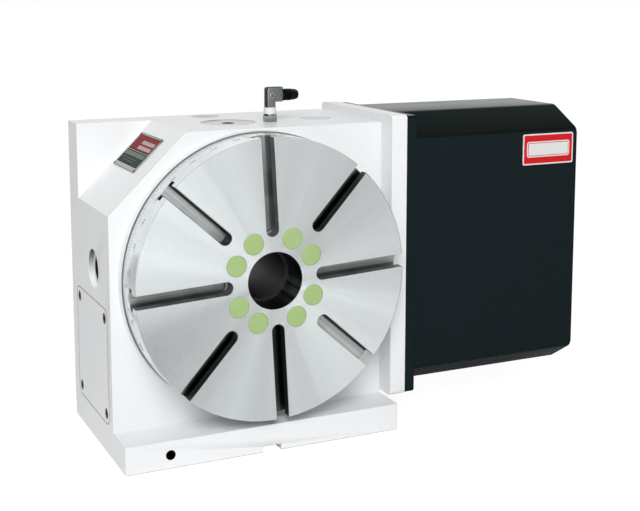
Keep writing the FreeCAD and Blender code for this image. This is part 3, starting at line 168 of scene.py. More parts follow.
class Graph:
    """Node tree of one material, with its surface shader."""

    def __init__(self, name: str) -> None:
        """Start a material of this name."""
        self.material = bpy.data.materials.new(name)
        self.material.use_nodes = True
        self.tree = self.material.node_tree
        self.surface = self.tree.nodes["Principled BSDF"]

    def node(self, kind: str, settings: Optional[dict] = None,
             sockets: Optional[dict] = None) -> bpy.types.Node:
        """Add a node.

        Args:
            kind: The node's type.
            settings: Properties that are set first.
            sockets: Input names or numbers with the values or links that they take.

        Returns:
            The new node.
        """
        node = self.tree.nodes.new(kind)
        for key, value in (settings or {}).items():
            setattr(node, key, value)
        for key, value in (sockets or {}).items():
            self.feed(node.inputs[key], value)
        return node

    def feed(self, socket: bpy.types.NodeSocket, value: Any) -> None:
        """Link a value to a socket, or set a number or colour on it."""
        if isinstance(value, Value):
            value = value.socket
        if isinstance(value, bpy.types.NodeSocket):
            self.tree.links.new(value, socket)
        elif isinstance(value, tuple) and len(value) == 3 and socket.type == "RGBA":
            socket.default_value = (*value, 1.0)
        else:
            socket.default_value = value

    def dress(self, **sockets: Any) -> None:
        """Feed the surface shader's sockets, named with underscores for spaces."""
        for key, value in sockets.items():
            self.feed(self.surface.inputs[key.replace("_", " ")], value)

    def show(self, shader: bpy.types.NodeSocket) -> None:
        """Put a shader on the material's output, in place of the surface shader."""
        self.tree.links.new(shader, self.tree.nodes["Material Output"].inputs[0])

    def glow(self, strength: float) -> bpy.types.NodeSocket:
        """A shader that gives off white light."""
        sockets = {"Color": (1.0, 1.0, 1.0), "Strength": strength}
        return self.node("ShaderNodeEmission", None, sockets).outputs[0]

    def coordinates(self) -> bpy.types.NodeSocket:
        """Object coordinates, which are the frame's own metres."""
        return self.node("ShaderNodeTexCoord").outputs["Object"]

    def place(self) -> tuple[Value, ...]:
        """The three object coordinates as values."""
        split = self.node("ShaderNodeSeparateXYZ", None, {0: self.coordinates()})
        return tuple(Value(self, socket) for socket in split.outputs)

    def facing(self, axis: int = 1) -> Value:
        """How squarely the surface faces along an axis, Y if none is given, from nought to one."""
        normal = self.node("ShaderNodeTexCoord").outputs["Normal"]
        split = self.node("ShaderNodeSeparateXYZ", None, {0: normal})
        return abs(Value(self, split.outputs[axis]))

    def noise(self, scale: float, detail: float = 3.0, stretch: Triple = (1, 1, 1)) -> Value:
        """Soft noise over the object.

        Args:
            scale: Features per metre.
            detail: Octaves.
            stretch: Factors on the three coordinates.

        Returns:
            The noise, from nought to one.
        """
        mapped = self.node("ShaderNodeMapping", None, {0: self.coordinates(), 3: stretch})
        sockets = {"Vector": mapped.outputs[0], "Scale": scale, "Detail": detail}
        return Value(self, self.node("ShaderNodeTexNoise", None, sockets).outputs[0])

    def cloud(self) -> Value:
        """Broad unevenness of sprayed paint."""
        return self.noise(9.0, 4.0)

    def peel(self) -> Value:
        """Orange peel of sprayed paint."""
        return self.noise(420.0, 2.0)

    def grain(self, stretch: Triple = (1, 1, 1)) -> Value:
        """Fine grain of worked metal."""
        return self.noise(900.0, 3.0, stretch)

    def streaks(self, way: tuple[Value, Value], scale: float, soft: float = 0.2) -> Value:
        """Streaks that run out from the spindle axis.

        Args:
            way: The X and Z parts of the direction from the axis.
            scale: Features for each unit of that direction.
            soft: Softness of the streaks' sides.

        Returns:
            One on the streaks and nought between them.
        """
        turned_way = self.node("ShaderNodeCombineXYZ", None, {0: way[0], 1: 0.0, 2: way[1]}).outputs[0]
        node = self.node("ShaderNodeTexNoise", None, {"Vector": turned_way, "Scale": scale, "Detail": 2.0})
        return Value(self, node.outputs[0]).above(0.5, soft)

    def blend(self, factor: Any, low: Any, high: Any) -> bpy.types.NodeSocket:
        """Mix two colours by a factor."""
        node = self.node("ShaderNodeMix", {"data_type": "RGBA"}, {0: factor, 6: low, 7: high})
        return node.outputs[2]

    def varied(self, factor: Value, colour: Colour, low: float, high: float) -> bpy.types.NodeSocket:
        """Carry a colour from one strength of itself to another by a factor."""
        return self.blend(factor, shade(colour, low), shade(colour, high))

    def lean(self, across: Value, rise: Value, tilt: Value) -> bpy.types.NodeSocket:
        """Lean the normal away from the Y axis, as the flanks of fine turning marks do.

        Args:
            across: Distance from the axis along X.
            rise: Distance from the axis along Z.
            tilt: Slope of the flank.

        Returns:
            The leaning normal, in world space.
        """
        reach = self.node("ShaderNodeCombineXYZ", None, {0: across, 1: 0.0, 2: rise}).outputs[0]
        settings = {"vector_type": "VECTOR", "convert_from": "OBJECT", "convert_to": "WORLD"}
        outward = self.node("ShaderNodeVectorTransform", settings, {0: self.vector("NORMALIZE", {0: reach})})
        leaned = self.vector("SCALE", {0: outward.outputs[0], "Scale": tilt})
        flat = self.node("ShaderNodeNewGeometry").outputs["Normal"]
        return self.vector("NORMALIZE", {0: self.vector("ADD", {0: flat, 1: leaned})})

    def vector(self, operation: str, sockets: dict) -> bpy.types.NodeSocket:
        """Add a Vector Math node and give its result."""
        return self.node("ShaderNodeVectorMath", {"operation": operation}, sockets).outputs[0]

    def bump(self, height: Value, distance: float, normal: Optional[bpy.types.NodeSocket] = None) -> None:
        """Raise the surface by a height field, over a given normal if there is one."""
        node = self.node("ShaderNodeBump", None, {"Height": height, "Distance": distance, "Strength": 1.0})
        if normal is not None:
            self.feed(node.inputs["Normal"], normal)
        self.feed(self.surface.inputs["Normal"], node.outputs[0])


def shade(colour: Colour, factor: float) -> Colour:
    """A colour made lighter or darker."""
    return tuple(min(1.0, channel * factor) for channel in colour)


# Finishes
@dataclass(frozen=True)
class Finish(ABC):
    """A named look with its main colour."""

    name: str
    colour: Colour

    def material(self) -> bpy.types.Material:
        """Build the finish as a material."""
        graph = Graph(self.name)
        self.fill(graph)
        return graph.material

    @abstractmethod
    def fill(self, graph: Graph) -> None:
        """Add the finish's nodes to a material's graph."""


@dataclass(frozen=True)
class Enamel(Finish):
    """Sprayed enamel with a fine orange peel and a little unevenness."""

    roughness: float = 0.5
    ior: float = 1.45

    def fill(self, graph: Graph) -> None:
        """Add the enamel."""
        cloud = graph.cloud()
        graph.dress(Base_Color=graph.varied(cloud, self.colour, 0.96, 1.03), IOR=self.ior,
                    Roughness=cloud.about(self.roughness, 0.12))
        graph.bump(graph.peel(), PEEL_DEPTH)


@dataclass(frozen=True)
class FoldedEnamel(Finish):
    """Dark enamel on folded sheet, with painted shade on the sloping folds at the top, and glossy on its roof.
    """

    fold: Colour
    fold_level: float = 0.16
    fold_facing: Pair = (0.45, 0.9)
    roof_facing: float = 0.93
    roof_gloss: float = 0.35
    gloss_tint: Colour = (0.84, 0.92, 1.0)
    gloss_roughness: float = 0.2
    roughness: float = 0.26
    ior: float = 1.06

    def fill(self, graph: Graph) -> None:
        """Add the enamel, the painted shade on its folds, and its roof."""
        front = graph.facing()
        high = graph.place()[2].above(self.fold_level, 0.05)
        # Painted shade: the sloping folds high on the cover take a darker colour.
        shaded_folds = front.above(self.fold_facing[0], 0.1) * front.below(self.fold_facing[1], 0.05) * high
        roof = graph.facing(2).above(self.roof_facing, 0.04) * high
        cloud = graph.cloud()
        flat = graph.varied(cloud, self.colour, 0.96, 1.03)
        graph.dress(Base_Color=graph.blend(shaded_folds, flat, self.fold), IOR=self.ior,
                    Roughness=cloud.about(self.roughness, 0.12), Coat_Weight=roof * self.roof_gloss,
                    Coat_Roughness=self.gloss_roughness, Coat_Tint=self.gloss_tint)
        graph.bump(graph.peel(), PEEL_DEPTH)


@dataclass(frozen=True)
class Metal(Finish):
    """Machined metal with a fine grain."""

    roughness: float

    def fill(self, graph: Graph) -> None:
        """Add the metal."""
        grain = graph.grain()
        graph.dress(Base_Color=graph.varied(graph.noise(30.0), self.colour, 0.9, 1.06), Metallic=1.0,
                    Roughness=grain.about(self.roughness, 0.18))
        graph.bump(grain, GRAIN_DEPTH)


@dataclass(frozen=True)
class Moulded(Finish):
    """Plastic or rubber with a fine moulded grain."""

    roughness: float
    ior: float = 1.45

    def fill(self, graph: Graph) -> None:
        """Add the moulding."""
        grain = graph.noise(700.0, 2.0)
        graph.dress(Base_Color=graph.varied(graph.noise(60.0), self.colour, 0.93, 1.05), IOR=self.ior,
                    Roughness=grain.about(self.roughness, 0.16))
        graph.bump(grain, PEEL_DEPTH)


@dataclass(frozen=True)
class TurnedSteel(Finish):
    """Faced steel with concentric turning marks about the spindle axis and painted sheen, with painted shade,
    painted light and a painted glint in its slots and bore.
    """

    face: float
    bore_radius: float
    pitch: float = 0.00045
    depth: float = 0.000014
    mark_pitch: float = 0.00011
    mark_slope: float = 0.5
    roughness: float = 0.22
    # Painted shade deep in the slots and the bore.
    oil: Colour = (0.035, 0.04, 0.04)
    # Painted light on the slot floors that face out of the plate.
    mouth: Colour = (0.46, 0.49, 0.49)
    # Painted light on the walls of the level slots and the top slot.
    wall: Colour = (0.17, 0.185, 0.185)
    # Painted glint on streaks along the lower right of the bore.
    wiped: Colour = (0.34, 0.36, 0.36)
    edge: Colour = (0.5, 0.52, 0.52)
    lip: float = 0.0012
    lip_soft: float = 0.0008
    slot_mouth: float = 0.0009
    rim_margin: float = 0.0003
    broken_edge: Pair = (0.0005, 0.0006)
    # Streak scales: painted sheen on the face (broad, narrow), milled marks in the slots, and the painted
    # glint in the bore.
    broad_streaks: float = 2.2
    narrow_streaks: float = 13.0
    milled_streaks: float = 55.0
    wiped_streaks: float = 9.0
    neck_half: float = 0.0048
    # Bands of the slots with painted light on their walls, and of the bottom slot with painted shade on its
    # floor.
    drained_half: float = 0.022
    pool_half: float = 0.028
    pool_level: float = -0.04
    wiped_turn: float = -35.0

    def fill(self, graph: Graph) -> None:
        """Add the turned face, then the slots and the bore in it."""
        across, along, up = graph.place()
        rise = up - CENTRE_HEIGHT
        reach = across.hypot(rise)
        way = (across / reach, rise / reach)
        ring = reach.above(self.bore_radius, EASED) * reach.below(RIM_RADIUS - self.rim_margin, EASED)
        slotted = ring * along.above(self.face + self.slot_mouth, EASED)
        inside = reach.below(self.bore_radius, EASED)
        bored = inside * along.above(self.face + self.lip, self.lip_soft)
        hidden = slotted.either(bored)
        patchy = graph.noise(45.0, 2.0).above(0.5, 0.2)
        milled = graph.streaks(way, self.milled_streaks) * 0.6 + patchy * 0.4
        # Painted light on the walls of the level slots and the top slot; painted shade in the other slots and
        # the bore.
        drained = self.drained(across, rise) * (milled * 0.6 + 0.4) * slotted
        slots = graph.blend(drained, self.oil, self.wall)
        # Painted glint streaks on the bore wall.
        walls = graph.blend(self.streaked(graph, way) * bored, slots, self.wiped)
        # Painted light on slot floors, with painted shadow under the necks and painted shade in the bottom
        # slot.
        floor = graph.facing().above(0.9, 0.05) * (1.0 - bored)
        mouthed = floor * self.under_necks(across, rise) * (1.0 - self.pooled(across, rise) * 0.75)
        shaded_interior = graph.blend(mouthed, walls, graph.varied(milled, self.mouth, 0.6, 1.2))
        # Painted sheen: lighter and darker streaks that run out from the axis.
        sheen_rays = graph.streaks(way, self.broad_streaks) * 0.66 + graph.streaks(way, self.narrow_streaks) * 0.14
        painted_sheen = graph.noise(14.0) * 0.2 + sheen_rays
        sheened_face = graph.varied(painted_sheen, self.colour, 0.88, 1.12)
        deep, wide = self.broken_edge
        broken = along.below(self.face + deep, CRISP) * reach.above(RIM_RADIUS - wide, CRISP)
        fine = graph.noise(1500.0, 2.0)
        graph.dress(Base_Color=graph.blend(broken, graph.blend(hidden, sheened_face, shaded_interior), self.edge),
                    Metallic=1.0 - ((inside - bored) * 0.8).either(drained * 0.7),
                    Roughness=fine.about(self.roughness, 0.1) + hidden * 0.08)
        waver = graph.noise(6.0, 2.0)
        grooves = (reach * (2 * math.pi / self.pitch) + waver * 3.0).sine()
        swells = (reach * (2 * math.pi / (self.pitch * 7.3))).sine()
        marks = (reach * (2 * math.pi / self.mark_pitch) + waver * 9.0).sine()
        beat = (reach * (5.1 * math.pi / self.mark_pitch)).sine()
        lean = graph.lean(across, rise, marks * beat * self.mark_slope * (1.0 - bored))
        graph.bump((grooves + swells * 0.6) * (1.0 - hidden) + fine * 0.5, self.depth, lean)

    def drained(self, across: Value, rise: Value) -> Value:
        """One in the two level slots and the top one, whose walls take painted light."""
        level = abs(rise).below(self.drained_half, 0.006)
        upright = abs(across).below(self.drained_half, 0.006) * rise.above(0.0, 0.01)
        return level.either(upright)

    def pooled(self, across: Value, rise: Value) -> Value:
        """One in the bottom slot, whose floor takes painted shade."""
        return rise.below(self.pool_level, 0.015) * abs(across).below(self.pool_half, 0.004)

    def streaked(self, graph: Graph, way: tuple[Value, Value]) -> Value:
        """One on streaks of painted glint along the lower right of the bore, and nought elsewhere."""
        turn = math.radians(self.wiped_turn)
        toward = way[0] * math.cos(turn) + way[1] * math.sin(turn)
        return graph.streaks(way, self.wiped_streaks, 0.15) * toward.ramp(0.8, 1.0, 0.0, 1.0)

    def under_necks(self, across: Value, rise: Value) -> Value:
        """One along the middle of the slots, and nought under their overhanging sides, where the floor takes
        painted shadow.
        """
        nearest: Optional[Value] = None
        for step in range(4):
            turn = math.radians(REST_ANGLE + step * 45.0)
            aside = abs(rise * math.cos(turn) - across * math.sin(turn))
            nearest = aside if nearest is None else nearest.math("MINIMUM", aside)
        return nearest.below(self.neck_half, 0.0012)


@dataclass(frozen=True)
class CastEnamel(Finish):
    """White enamel on the casting, with bare machined metal in its bores, spot face and base."""

    roughness: float = 0.34
    iron: Colour = (0.3, 0.31, 0.32)
    shadow: Colour = (0.03, 0.03, 0.032)
    boss_face: Colour = (0.4, 0.405, 0.405)
    bore_reach: float = 0.0975
    boss_reach: float = 0.1284
    boss_level: float = -0.0595
    base_level: float = 0.0004
    spot: Pair = (-0.004, 0.006)
    spot_metal: Colour = (0.56, 0.53, 0.53)
    spot_radius: float = 0.0262
    spot_level: float = 0.2885
    eye_radius: float = 0.0064
    eye_level: float = 0.25
    front_hole: Pair = (-0.0956, 0.0123)
    front_hole_radius: float = 0.0045
    front_hole_end: float = -0.05
    sight_face: float = -0.1355
    sight_depth: float = 0.02
    sight_radius: float = 0.0183

    def fill(self, graph: Graph) -> None:
        """Add the enamel and the bare metal under it."""
        across, along, up = graph.place()
        reach = across.hypot(up - CENTRE_HEIGHT)
        behind = reach.below(self.boss_reach, CRISP) * along.below(self.boss_level, CRISP)
        bored = reach.below(self.bore_reach, CRISP).either(behind)
        from_eye = (across - self.spot[0]).hypot(along - self.spot[1])
        spotted = from_eye.below(self.spot_radius, CRISP) * up.above(self.spot_level, EASED)
        eye = from_eye.below(self.eye_radius, EASED) * up.above(self.eye_level, EASED)
        from_hole = (across - self.front_hole[0]).hypot(up - self.front_hole[1])
        drilled = from_hole.below(self.front_hole_radius, CRISP) * along.below(self.front_hole_end, 1.0 * MM)
        dark = eye.either(drilled)
        bare = bored.either(spotted).either(up.below(self.base_level, CRISP)).either(dark)
        machined = graph.blend(behind, graph.blend(spotted, self.iron, self.spot_metal), self.boss_face)
        cloud = graph.cloud()
        flat = graph.varied(cloud, self.colour, 0.97, 1.02)
        paint = graph.blend(self.recessed(across, along, up), flat, self.recess(graph, up))
        metal = graph.blend(dark, machined, self.shadow)
        graph.dress(Base_Color=graph.blend(bare, paint, metal), Metallic=bare,
                    Roughness=cloud.about(self.roughness, 0.12))
        graph.bump(graph.peel() + bare * graph.noise(900.0, 2.0), PEEL_DEPTH)

    def recessed(self, across: Value, along: Value, up: Value) -> Value:
        """One on the wall of the round recess in the left side, and nought elsewhere."""
        from_sight = (along - SIGHT_CENTRE[0]).hypot(up - SIGHT_CENTRE[1])
        floor = self.sight_face + self.sight_depth
        deep = across.above(self.sight_face, CRISP) * across.below(floor, 1.0 * MM)
        return from_sight.below(self.sight_radius, CRISP) * deep

    def recess(self, graph: Graph, up: Value) -> bpy.types.NodeSocket:
        """Colour of the recess's wall, with painted light at the bottom and painted shade towards the top."""
        # Painted shade darkens the wall towards the top; the bottom is painted lighter than the enamel.
        recess_shade = (up - SIGHT_CENTRE[1]).above(0.0, self.sight_radius)
        return graph.varied(recess_shade, self.colour, 1.1, 0.08)


@dataclass(frozen=True)
class Lens(Finish):
    """Round window with a rim of another colour."""

    axes: tuple[int, int]
    centre: Pair
    clear_radius: float
    rim: Colour
    roughness: float = 0.2
    ior: float = 1.2

    def fill(self, graph: Graph) -> None:
        """Add the window and its rim."""
        place = graph.place()
        away, back = (place[axis] - middle for axis, middle in zip(self.axes, self.centre))
        edge = away.hypot(back).above(self.clear_radius, self.clear_radius * 0.04)
        graph.dress(Base_Color=graph.blend(edge, self.colour, self.rim), IOR=self.ior,
                    Roughness=graph.noise(60.0) * 0.1 + self.roughness)


@dataclass(frozen=True)
class Forging(Finish):
    """Black phosphated forging with painted light on the faces that look front and back and a painted
    highlight round them, up to the thread of its arm.
    """

    # Painted light on the flat faces that look front and back.
    ground: Colour
    arm_end: float
    # Painted highlight on the rounds beside those faces.
    worn: Colour = (0.62, 0.65, 0.64)
    roughness: float = 0.34

    def fill(self, graph: Graph) -> None:
        """Add the forging, the painted light on its front and back faces and the painted highlight round them.
        """
        forged = graph.place()[0].below(self.arm_end, 0.4 * MM)
        front = graph.facing()
        grain = graph.grain()
        # Painted highlight on the rounds, then painted light on the flat front and back faces.
        body = graph.blend(front.above(0.82, 0.04) * forged, self.colour, self.worn)
        graph.dress(Base_Color=graph.blend(front.above(0.93, 0.03) * forged, body, self.ground), Metallic=1.0,
                    Roughness=grain.about(self.roughness, 0.18))
        graph.bump(grain, GRAIN_DEPTH)


@dataclass(frozen=True)
class BoredSteel(Finish):
    """Machined steel whose bore is dark with painted shade."""

    bore_radius: float
    # Painted shade in the bore.
    oil: Colour = (0.035, 0.037, 0.037)
    roughness: float = 0.37

    def fill(self, graph: Graph) -> None:
        """Add the steel and the painted shade in its bore."""
        across, _, up = graph.place()
        inside = across.hypot(up - CENTRE_HEIGHT).below(self.bore_radius, CRISP)
        grain = graph.grain((1.0, 8.0, 1.0))
        graph.dress(Base_Color=graph.blend(inside, self.colour, self.oil), Metallic=1.0 - inside * 0.6,
                    Roughness=grain.about(self.roughness, 0.18))
        graph.bump(grain, GRAIN_DEPTH)


# Mesh building
def rounded(mesh: bmesh.types.BMesh, geom: list, offset: float, segments: int, affect: str = "EDGES") -> None:
    """Bevel edges or corners of a bmesh into rounds.

    Args:
        mesh: The bmesh.
        geom: Its edges or vertices that are rounded.
        offset: Distance from the old edge to the round's sides.
        segments: Steps across each round.
        affect: Whether edges or vertices are bevelled.
    """
    bmesh.ops.bevel(mesh, geom=geom, offset=offset, offset_type="OFFSET", affect=affect, segments=segments,
                    profile=0.5, material=-1)


def drawn_out(mesh: bmesh.types.BMesh, reach: Triple) -> None:
    """Extrude all faces of a flat bmesh along a vector, and turn the normals outwards."""
    pulled = bmesh.ops.extrude_face_region(mesh, geom=list(mesh.faces))
    moved = [item for item in pulled["geom"] if isinstance(item, bmesh.types.BMVert)]
    bmesh.ops.translate(mesh, vec=reach, verts=moved)
    bmesh.ops.recalc_face_normals(mesh, faces=mesh.faces)


def join(mesh: bmesh.types.BMesh, part: bmesh.types.BMesh, matrix: Matrix) -> None:
    """Move a bmesh and add it to another one; the moved one is freed."""
    bmesh.ops.transform(part, matrix=matrix, verts=part.verts)
    data = bpy.data.meshes.new("joined")
    part.to_mesh(data)
    part.free()
    mesh.from_mesh(data)
    bpy.data.meshes.remove(data)


def turned(mesh: bmesh.types.BMesh, profile: Iterable[Pair], matrix: Matrix, steps: int) -> None:
    """Add a turned form about its own Z axis to a bmesh.

    Args:
        mesh: The bmesh that it joins.
        profile: (radius, height) points, which are closed to the axis at both ends.
        matrix: Where the form goes.
        steps: Facets around the form.
    """
    part = bmesh.new()
    section = list(profile)
    if section[0][0] > 0.0:
        section.insert(0, (0.0, section[0][1]))
    if section[-1][0] > 0.0:
        section.append((0.0, section[-1][1]))
    points = [part.verts.new((radius, 0.0, height)) for radius, height in section]
    edges = [part.edges.new(pair) for pair in zip(points, points[1:])]
    bmesh.ops.spin(part, geom=points + edges, cent=(0, 0, 0), axis=(0, 0, 1), dvec=(0, 0, 0),
                   angle=2 * math.pi, steps=steps, use_merge=True, use_duplicate=False)
    bmesh.ops.remove_doubles(part, verts=part.verts, dist=WELD)
    bmesh.ops.recalc_face_normals(part, faces=part.faces)
    join(mesh, part, matrix)


def rounded_panel(mesh: bmesh.types.BMesh, size: Pair, thickness: float, corner: float, matrix: Matrix,
                  steps: int = 6, wall: float = 0.0) -> None:
    """Add a flat panel or frame with rounded corners, standing on its own XY plane.

    Args:
        mesh: The bmesh that it joins.
        size: Lengths along the panel's X and Y axes.
        thickness: Length along its Z axis.
        corner: Radius of its corners.
        matrix: Where the middle of its lower face goes.
        steps: Steps round each corner.
        wall: Width of a frame's band, or nought for a full panel.
    """
    part = bmesh.new()
    bmesh.ops.create_grid(part, x_segments=1, y_segments=1, size=0.5)
    bmesh.ops.scale(part, vec=(*size, 1.0), verts=part.verts)
    rounded(part, list(part.verts), corner, steps, "VERTICES")
    if wall > 0.0:
        inner = list(part.faces)
        bmesh.ops.inset_region(part, faces=inner, thickness=wall, use_boundary=True, use_even_offset=True)
        bmesh.ops.delete(part, geom=inner, context="FACES")
    drawn_out(part, (0, 0, thickness))
    join(mesh, part, matrix)


def frame_of(origin: Vector, x_axis: Vector, y_axis: Vector) -> Matrix:
    """Matrix of a local frame from its origin and two axes."""
    z_axis = x_axis.cross(y_axis)
    matrix = Matrix((x_axis, y_axis, z_axis)).transposed().to_4x4()
    matrix.translation = origin
    return matrix


def as_object(name: str, mesh: bmesh.types.BMesh, material: bpy.types.Material) -> bpy.types.Object:
    """Turn a bmesh, which is freed, into an object of the scene with one material."""
    data = bpy.data.meshes.new(name)
    mesh.to_mesh(data)
    mesh.free()
    data.materials.append(material)
    made = bpy.data.objects.new(name, data)
    bpy.context.scene.collection.objects.link(made)
    return made


@dataclass
class Studio:
    """Camera, lamps, world and floor."""

    position: Triple = (-0.39982, -1.04734, 0.41383)
    yaw: float = 25.01
    pitch: float = 8.07
    focal_pixels: float = 1199.46
    shift_y: float = -0.15
    lamp_target: Triple = (0.05, 0.0, 0.15)
    world_fill: float = 0.36
    floor_size: float = 8.0
    floor_grey: Colour = (0.93, 0.93, 0.93)
    floor_glow: float = 1.19
    floor_share: float = 0.8

    def build(self) -> None:
        """Set up the whole studio."""
        self.camera()
        self.lamps()
        self.world()
        self.floor()
        self.reflectors()
        bpy.context.scene.view_settings.view_transform = "Standard"

    def camera(self) -> None:
        """Stand the camera where the photograph was taken from."""
        lens = bpy.data.cameras.new("camera")
        lens.sensor_width = SENSOR_WIDTH
        lens.lens = self.focal_pixels * SENSOR_WIDTH / IMAGE_WIDTH
        lens.shift_y = self.shift_y
        lens.clip_start = 0.01
        turn, dip = math.radians(self.yaw), math.radians(self.pitch)
        forward = Vector((math.sin(turn) * math.cos(dip), math.cos(turn) * math.cos(dip), -math.sin(dip)))
        camera = bpy.data.objects.new("camera", lens)
        camera.location = self.position
        camera.rotation_euler = forward.to_track_quat("-Z", "Y").to_euler()
        bpy.context.scene.collection.objects.link(camera)
        bpy.context.scene.camera = camera

    def lamps(self) -> None:
        """Hang the soft lamps, which reflections don't show."""
        for name, spot, size, power in (("front_softbox", (-0.9, -2.2, 1.8), 1.3, 58.0),
                                        ("top_softbox", (0.1, 0.3, 2.4), 1.8, 1.0),
                                        ("left_softbox", (-1.7, -0.5, 2.0), 1.0, 3.0)):
            lamp = bpy.data.lights.new(name, "AREA")
            lamp.size = size
            lamp.energy = power
            holder = bpy.data.objects.new(name, lamp)
            holder.location = spot
            holder.visible_glossy = False
            aim = Vector(self.lamp_target) - Vector(spot)
            holder.rotation_euler = aim.to_track_quat("-Z", "Y").to_euler()
            bpy.context.scene.collection.objects.link(holder)

    def world(self) -> None:
        """Light from all round, and a white background for the camera and for reflections."""
        world = bpy.data.worlds.new("studio")
        world.use_nodes = True
        bpy.context.scene.world = world
        tree = world.node_tree
        path = tree.nodes.new("ShaderNodeLightPath")
        seen = path.outputs["Is Camera Ray"]
        for kind in ("Is Glossy Ray", "Is Transmission Ray"):
            either = tree.nodes.new("ShaderNodeMath")
            either.operation = "MAXIMUM"
            tree.links.new(seen, either.inputs[0])
            tree.links.new(path.outputs[kind], either.inputs[1])
            seen = either.outputs[0]
        strength = tree.nodes.new("ShaderNodeMapRange")
        strength.inputs[3].default_value = self.world_fill
        strength.inputs[4].default_value = 1.0
        tree.links.new(seen, strength.inputs[0])
        background = tree.nodes["Background"]
        background.inputs[0].default_value = (1.0, 1.0, 1.0, 1.0)
        tree.links.new(strength.outputs[0], background.inputs[1])

    def floor(self) -> None:
        """Lay a pale floor that keeps the shadow and shows white to the camera."""
        mesh = bmesh.new()
        bmesh.ops.create_grid(mesh, x_segments=1, y_segments=1, size=self.floor_size / 2)
        graph = Graph("floor_paper")
        graph.dress(Base_Color=self.floor_grey, Roughness=0.9, Specular_IOR_Level=0.1)
        seen = Value(graph, graph.node("ShaderNodeLightPath").outputs["Is Camera Ray"])
        layers = {0: seen * self.floor_share, 1: graph.surface.outputs[0], 2: graph.glow(self.floor_glow)}
        graph.show(graph.node("ShaderNodeMixShader", None, layers).outputs[0])
        as_object("floor", mesh, graph.material)

    def reflectors(self) -> None:
        """Stand grey cards and bright strips in front for the steel, which only reflections see."""
        panels = (("grey_card", (1.3, -1.5, 0.1), (1.3, -1.5, 1.9), 2.0, 0.44),
                  ("high_strip", (0.36, -2.4, 0.06), (-0.75, -2.25, 1.0), 0.3, 2.0),
                  ("middle_strip", (0.6, -2.38, 0.02), (-0.3, -2.38, 1.15), 0.2, 1.9),
                  ("right_strip", (0.6, -1.4, 0.02), (1.3, -1.4, 0.8), 0.16, 1.1),
                  ("low_strip", (0.09, -0.96, 0.002), (-1.4, -2.6, 0.002), 0.3, 2.0),
                  ("low_card", (-0.3, -0.24, 0.003), (-0.02, -0.24, 0.003), 0.12, 0.2))
        for name, start, end, width, strength in panels:
            first, last = Vector(start), Vector(end)
            look = Vector((0.0, 0.0, CENTRE_HEIGHT)) - (first + last) / 2
            side = (last - first).cross(look).normalized() * (width / 2)
            mesh = bmesh.new()
            corners = (first - side, first + side, last + side, last - side)
            mesh.faces.new([mesh.verts.new(corner) for corner in corners])
            graph = Graph(f"{name}_light")
            graph.show(graph.glow(strength))
            panel = as_object(name, mesh, graph.material)
            panel.visible_camera = False
            panel.visible_diffuse = False
            panel.visible_shadow = False


WHITE = CastEnamel("housing_enamel", HOUSING_WHITE)
PANEL = Enamel("panel_enamel", HOUSING_WHITE, roughness=0.34)
# The cover's second colour is painted shade on its sloping folds.
BLACK = FoldedEnamel("cover_enamel", (0.0100, 0.0160, 0.0182), fold=(0.0055, 0.0085, 0.0078))
MOTOR = Enamel("motor_enamel", (0.012, 0.012, 0.014))
RED = Enamel("red_print", (0.24, 0.035, 0.036), ior=1.1)
BADGE = Enamel("badge_red", (0.60, 0.014, 0.02), ior=1.15)
SLATE = Enamel("slate_print", (0.036, 0.052, 0.04), ior=1.1)
HEADER = Enamel("header_print", (0.17, 0.21, 0.17), ior=1.1)
# Dark print on the nameplate, also used as painted shade in the side cover's joint.
DARK_INK_AND_SHADE = Enamel("dark_ink_and_shade", (0.014, 0.017, 0.015), ior=1.1)
BORDER = Enamel("border_print", (0.42, 0.47, 0.42), ior=1.2)
BARS = Enamel("bar_print", (0.46, 0.38, 0.37), ior=1.2)
PALE = Enamel("pale_print", (0.72, 0.72, 0.70), roughness=0.45)
INK = Enamel("scale_ink", (0.24, 0.25, 0.25))
FACE = TurnedSteel("turned_face", (0.71, 0.745, 0.75), face=-0.098, bore_radius=0.0264)
PLUG = Metal("plug_steel", (0.5, 0.47, 0.47), roughness=0.4)
STEEL = Metal("machined_steel", (0.56, 0.57, 0.58), roughness=0.34)
BEARING = Metal("bearing_steel", (0.62, 0.63, 0.64), roughness=0.2)
OXIDE = Metal("black_oxide", (0.06, 0.06, 0.065), roughness=0.4)
ZINC = Metal("zinc_plate", (0.58, 0.59, 0.6), roughness=0.28)
NUT = Metal("nut_steel", (0.3, 0.32, 0.31), roughness=0.2)
BRONZE = Metal("wheel_bronze", (0.6, 0.38, 0.16), roughness=0.35)
CAST = Metal("cast_iron", (0.3, 0.31, 0.32), roughness=0.5)
ALUMINIUM = Metal("milled_aluminium", (0.74, 0.75, 0.76), roughness=0.36)
# The spindle's bore takes painted shade.
SPINDLE = BoredSteel("spindle_bore_shade", (0.5, 0.51, 0.52), bore_radius=0.0265)
RUBBER = Moulded("seal_rubber", (0.018, 0.018, 0.019), roughness=0.6)
NYLON = Moulded("black_nylon", (0.02, 0.02, 0.022), roughness=0.45)
GREEN = Moulded("plug_plastic", (0.35, 0.49, 0.20), roughness=0.42)
SIGHT = Lens("sight_window", (0.006, 0.007, 0.007), axes=(1, 2), centre=SIGHT_CENTRE, clear_radius=0.0125,
             rim=(0.7, 0.71, 0.71), roughness=0.55, ior=1.05)
WINDOW = Lens("pale_window", (0.54, 0.66, 0.80), axes=(0, 1), centre=(0.087, 0.008), clear_radius=0.01395,
              rim=(0.3, 0.36, 0.42))
# The fitting's grey is painted light on its front and back faces.
FITTING = Forging("phosphated_steel", (0.014, 0.016, 0.016), ground=(0.2, 0.225, 0.215), arm_end=0.0462)
BAND = Moulded("sealing_band", (0.8, 0.8, 0.78), roughness=0.5)

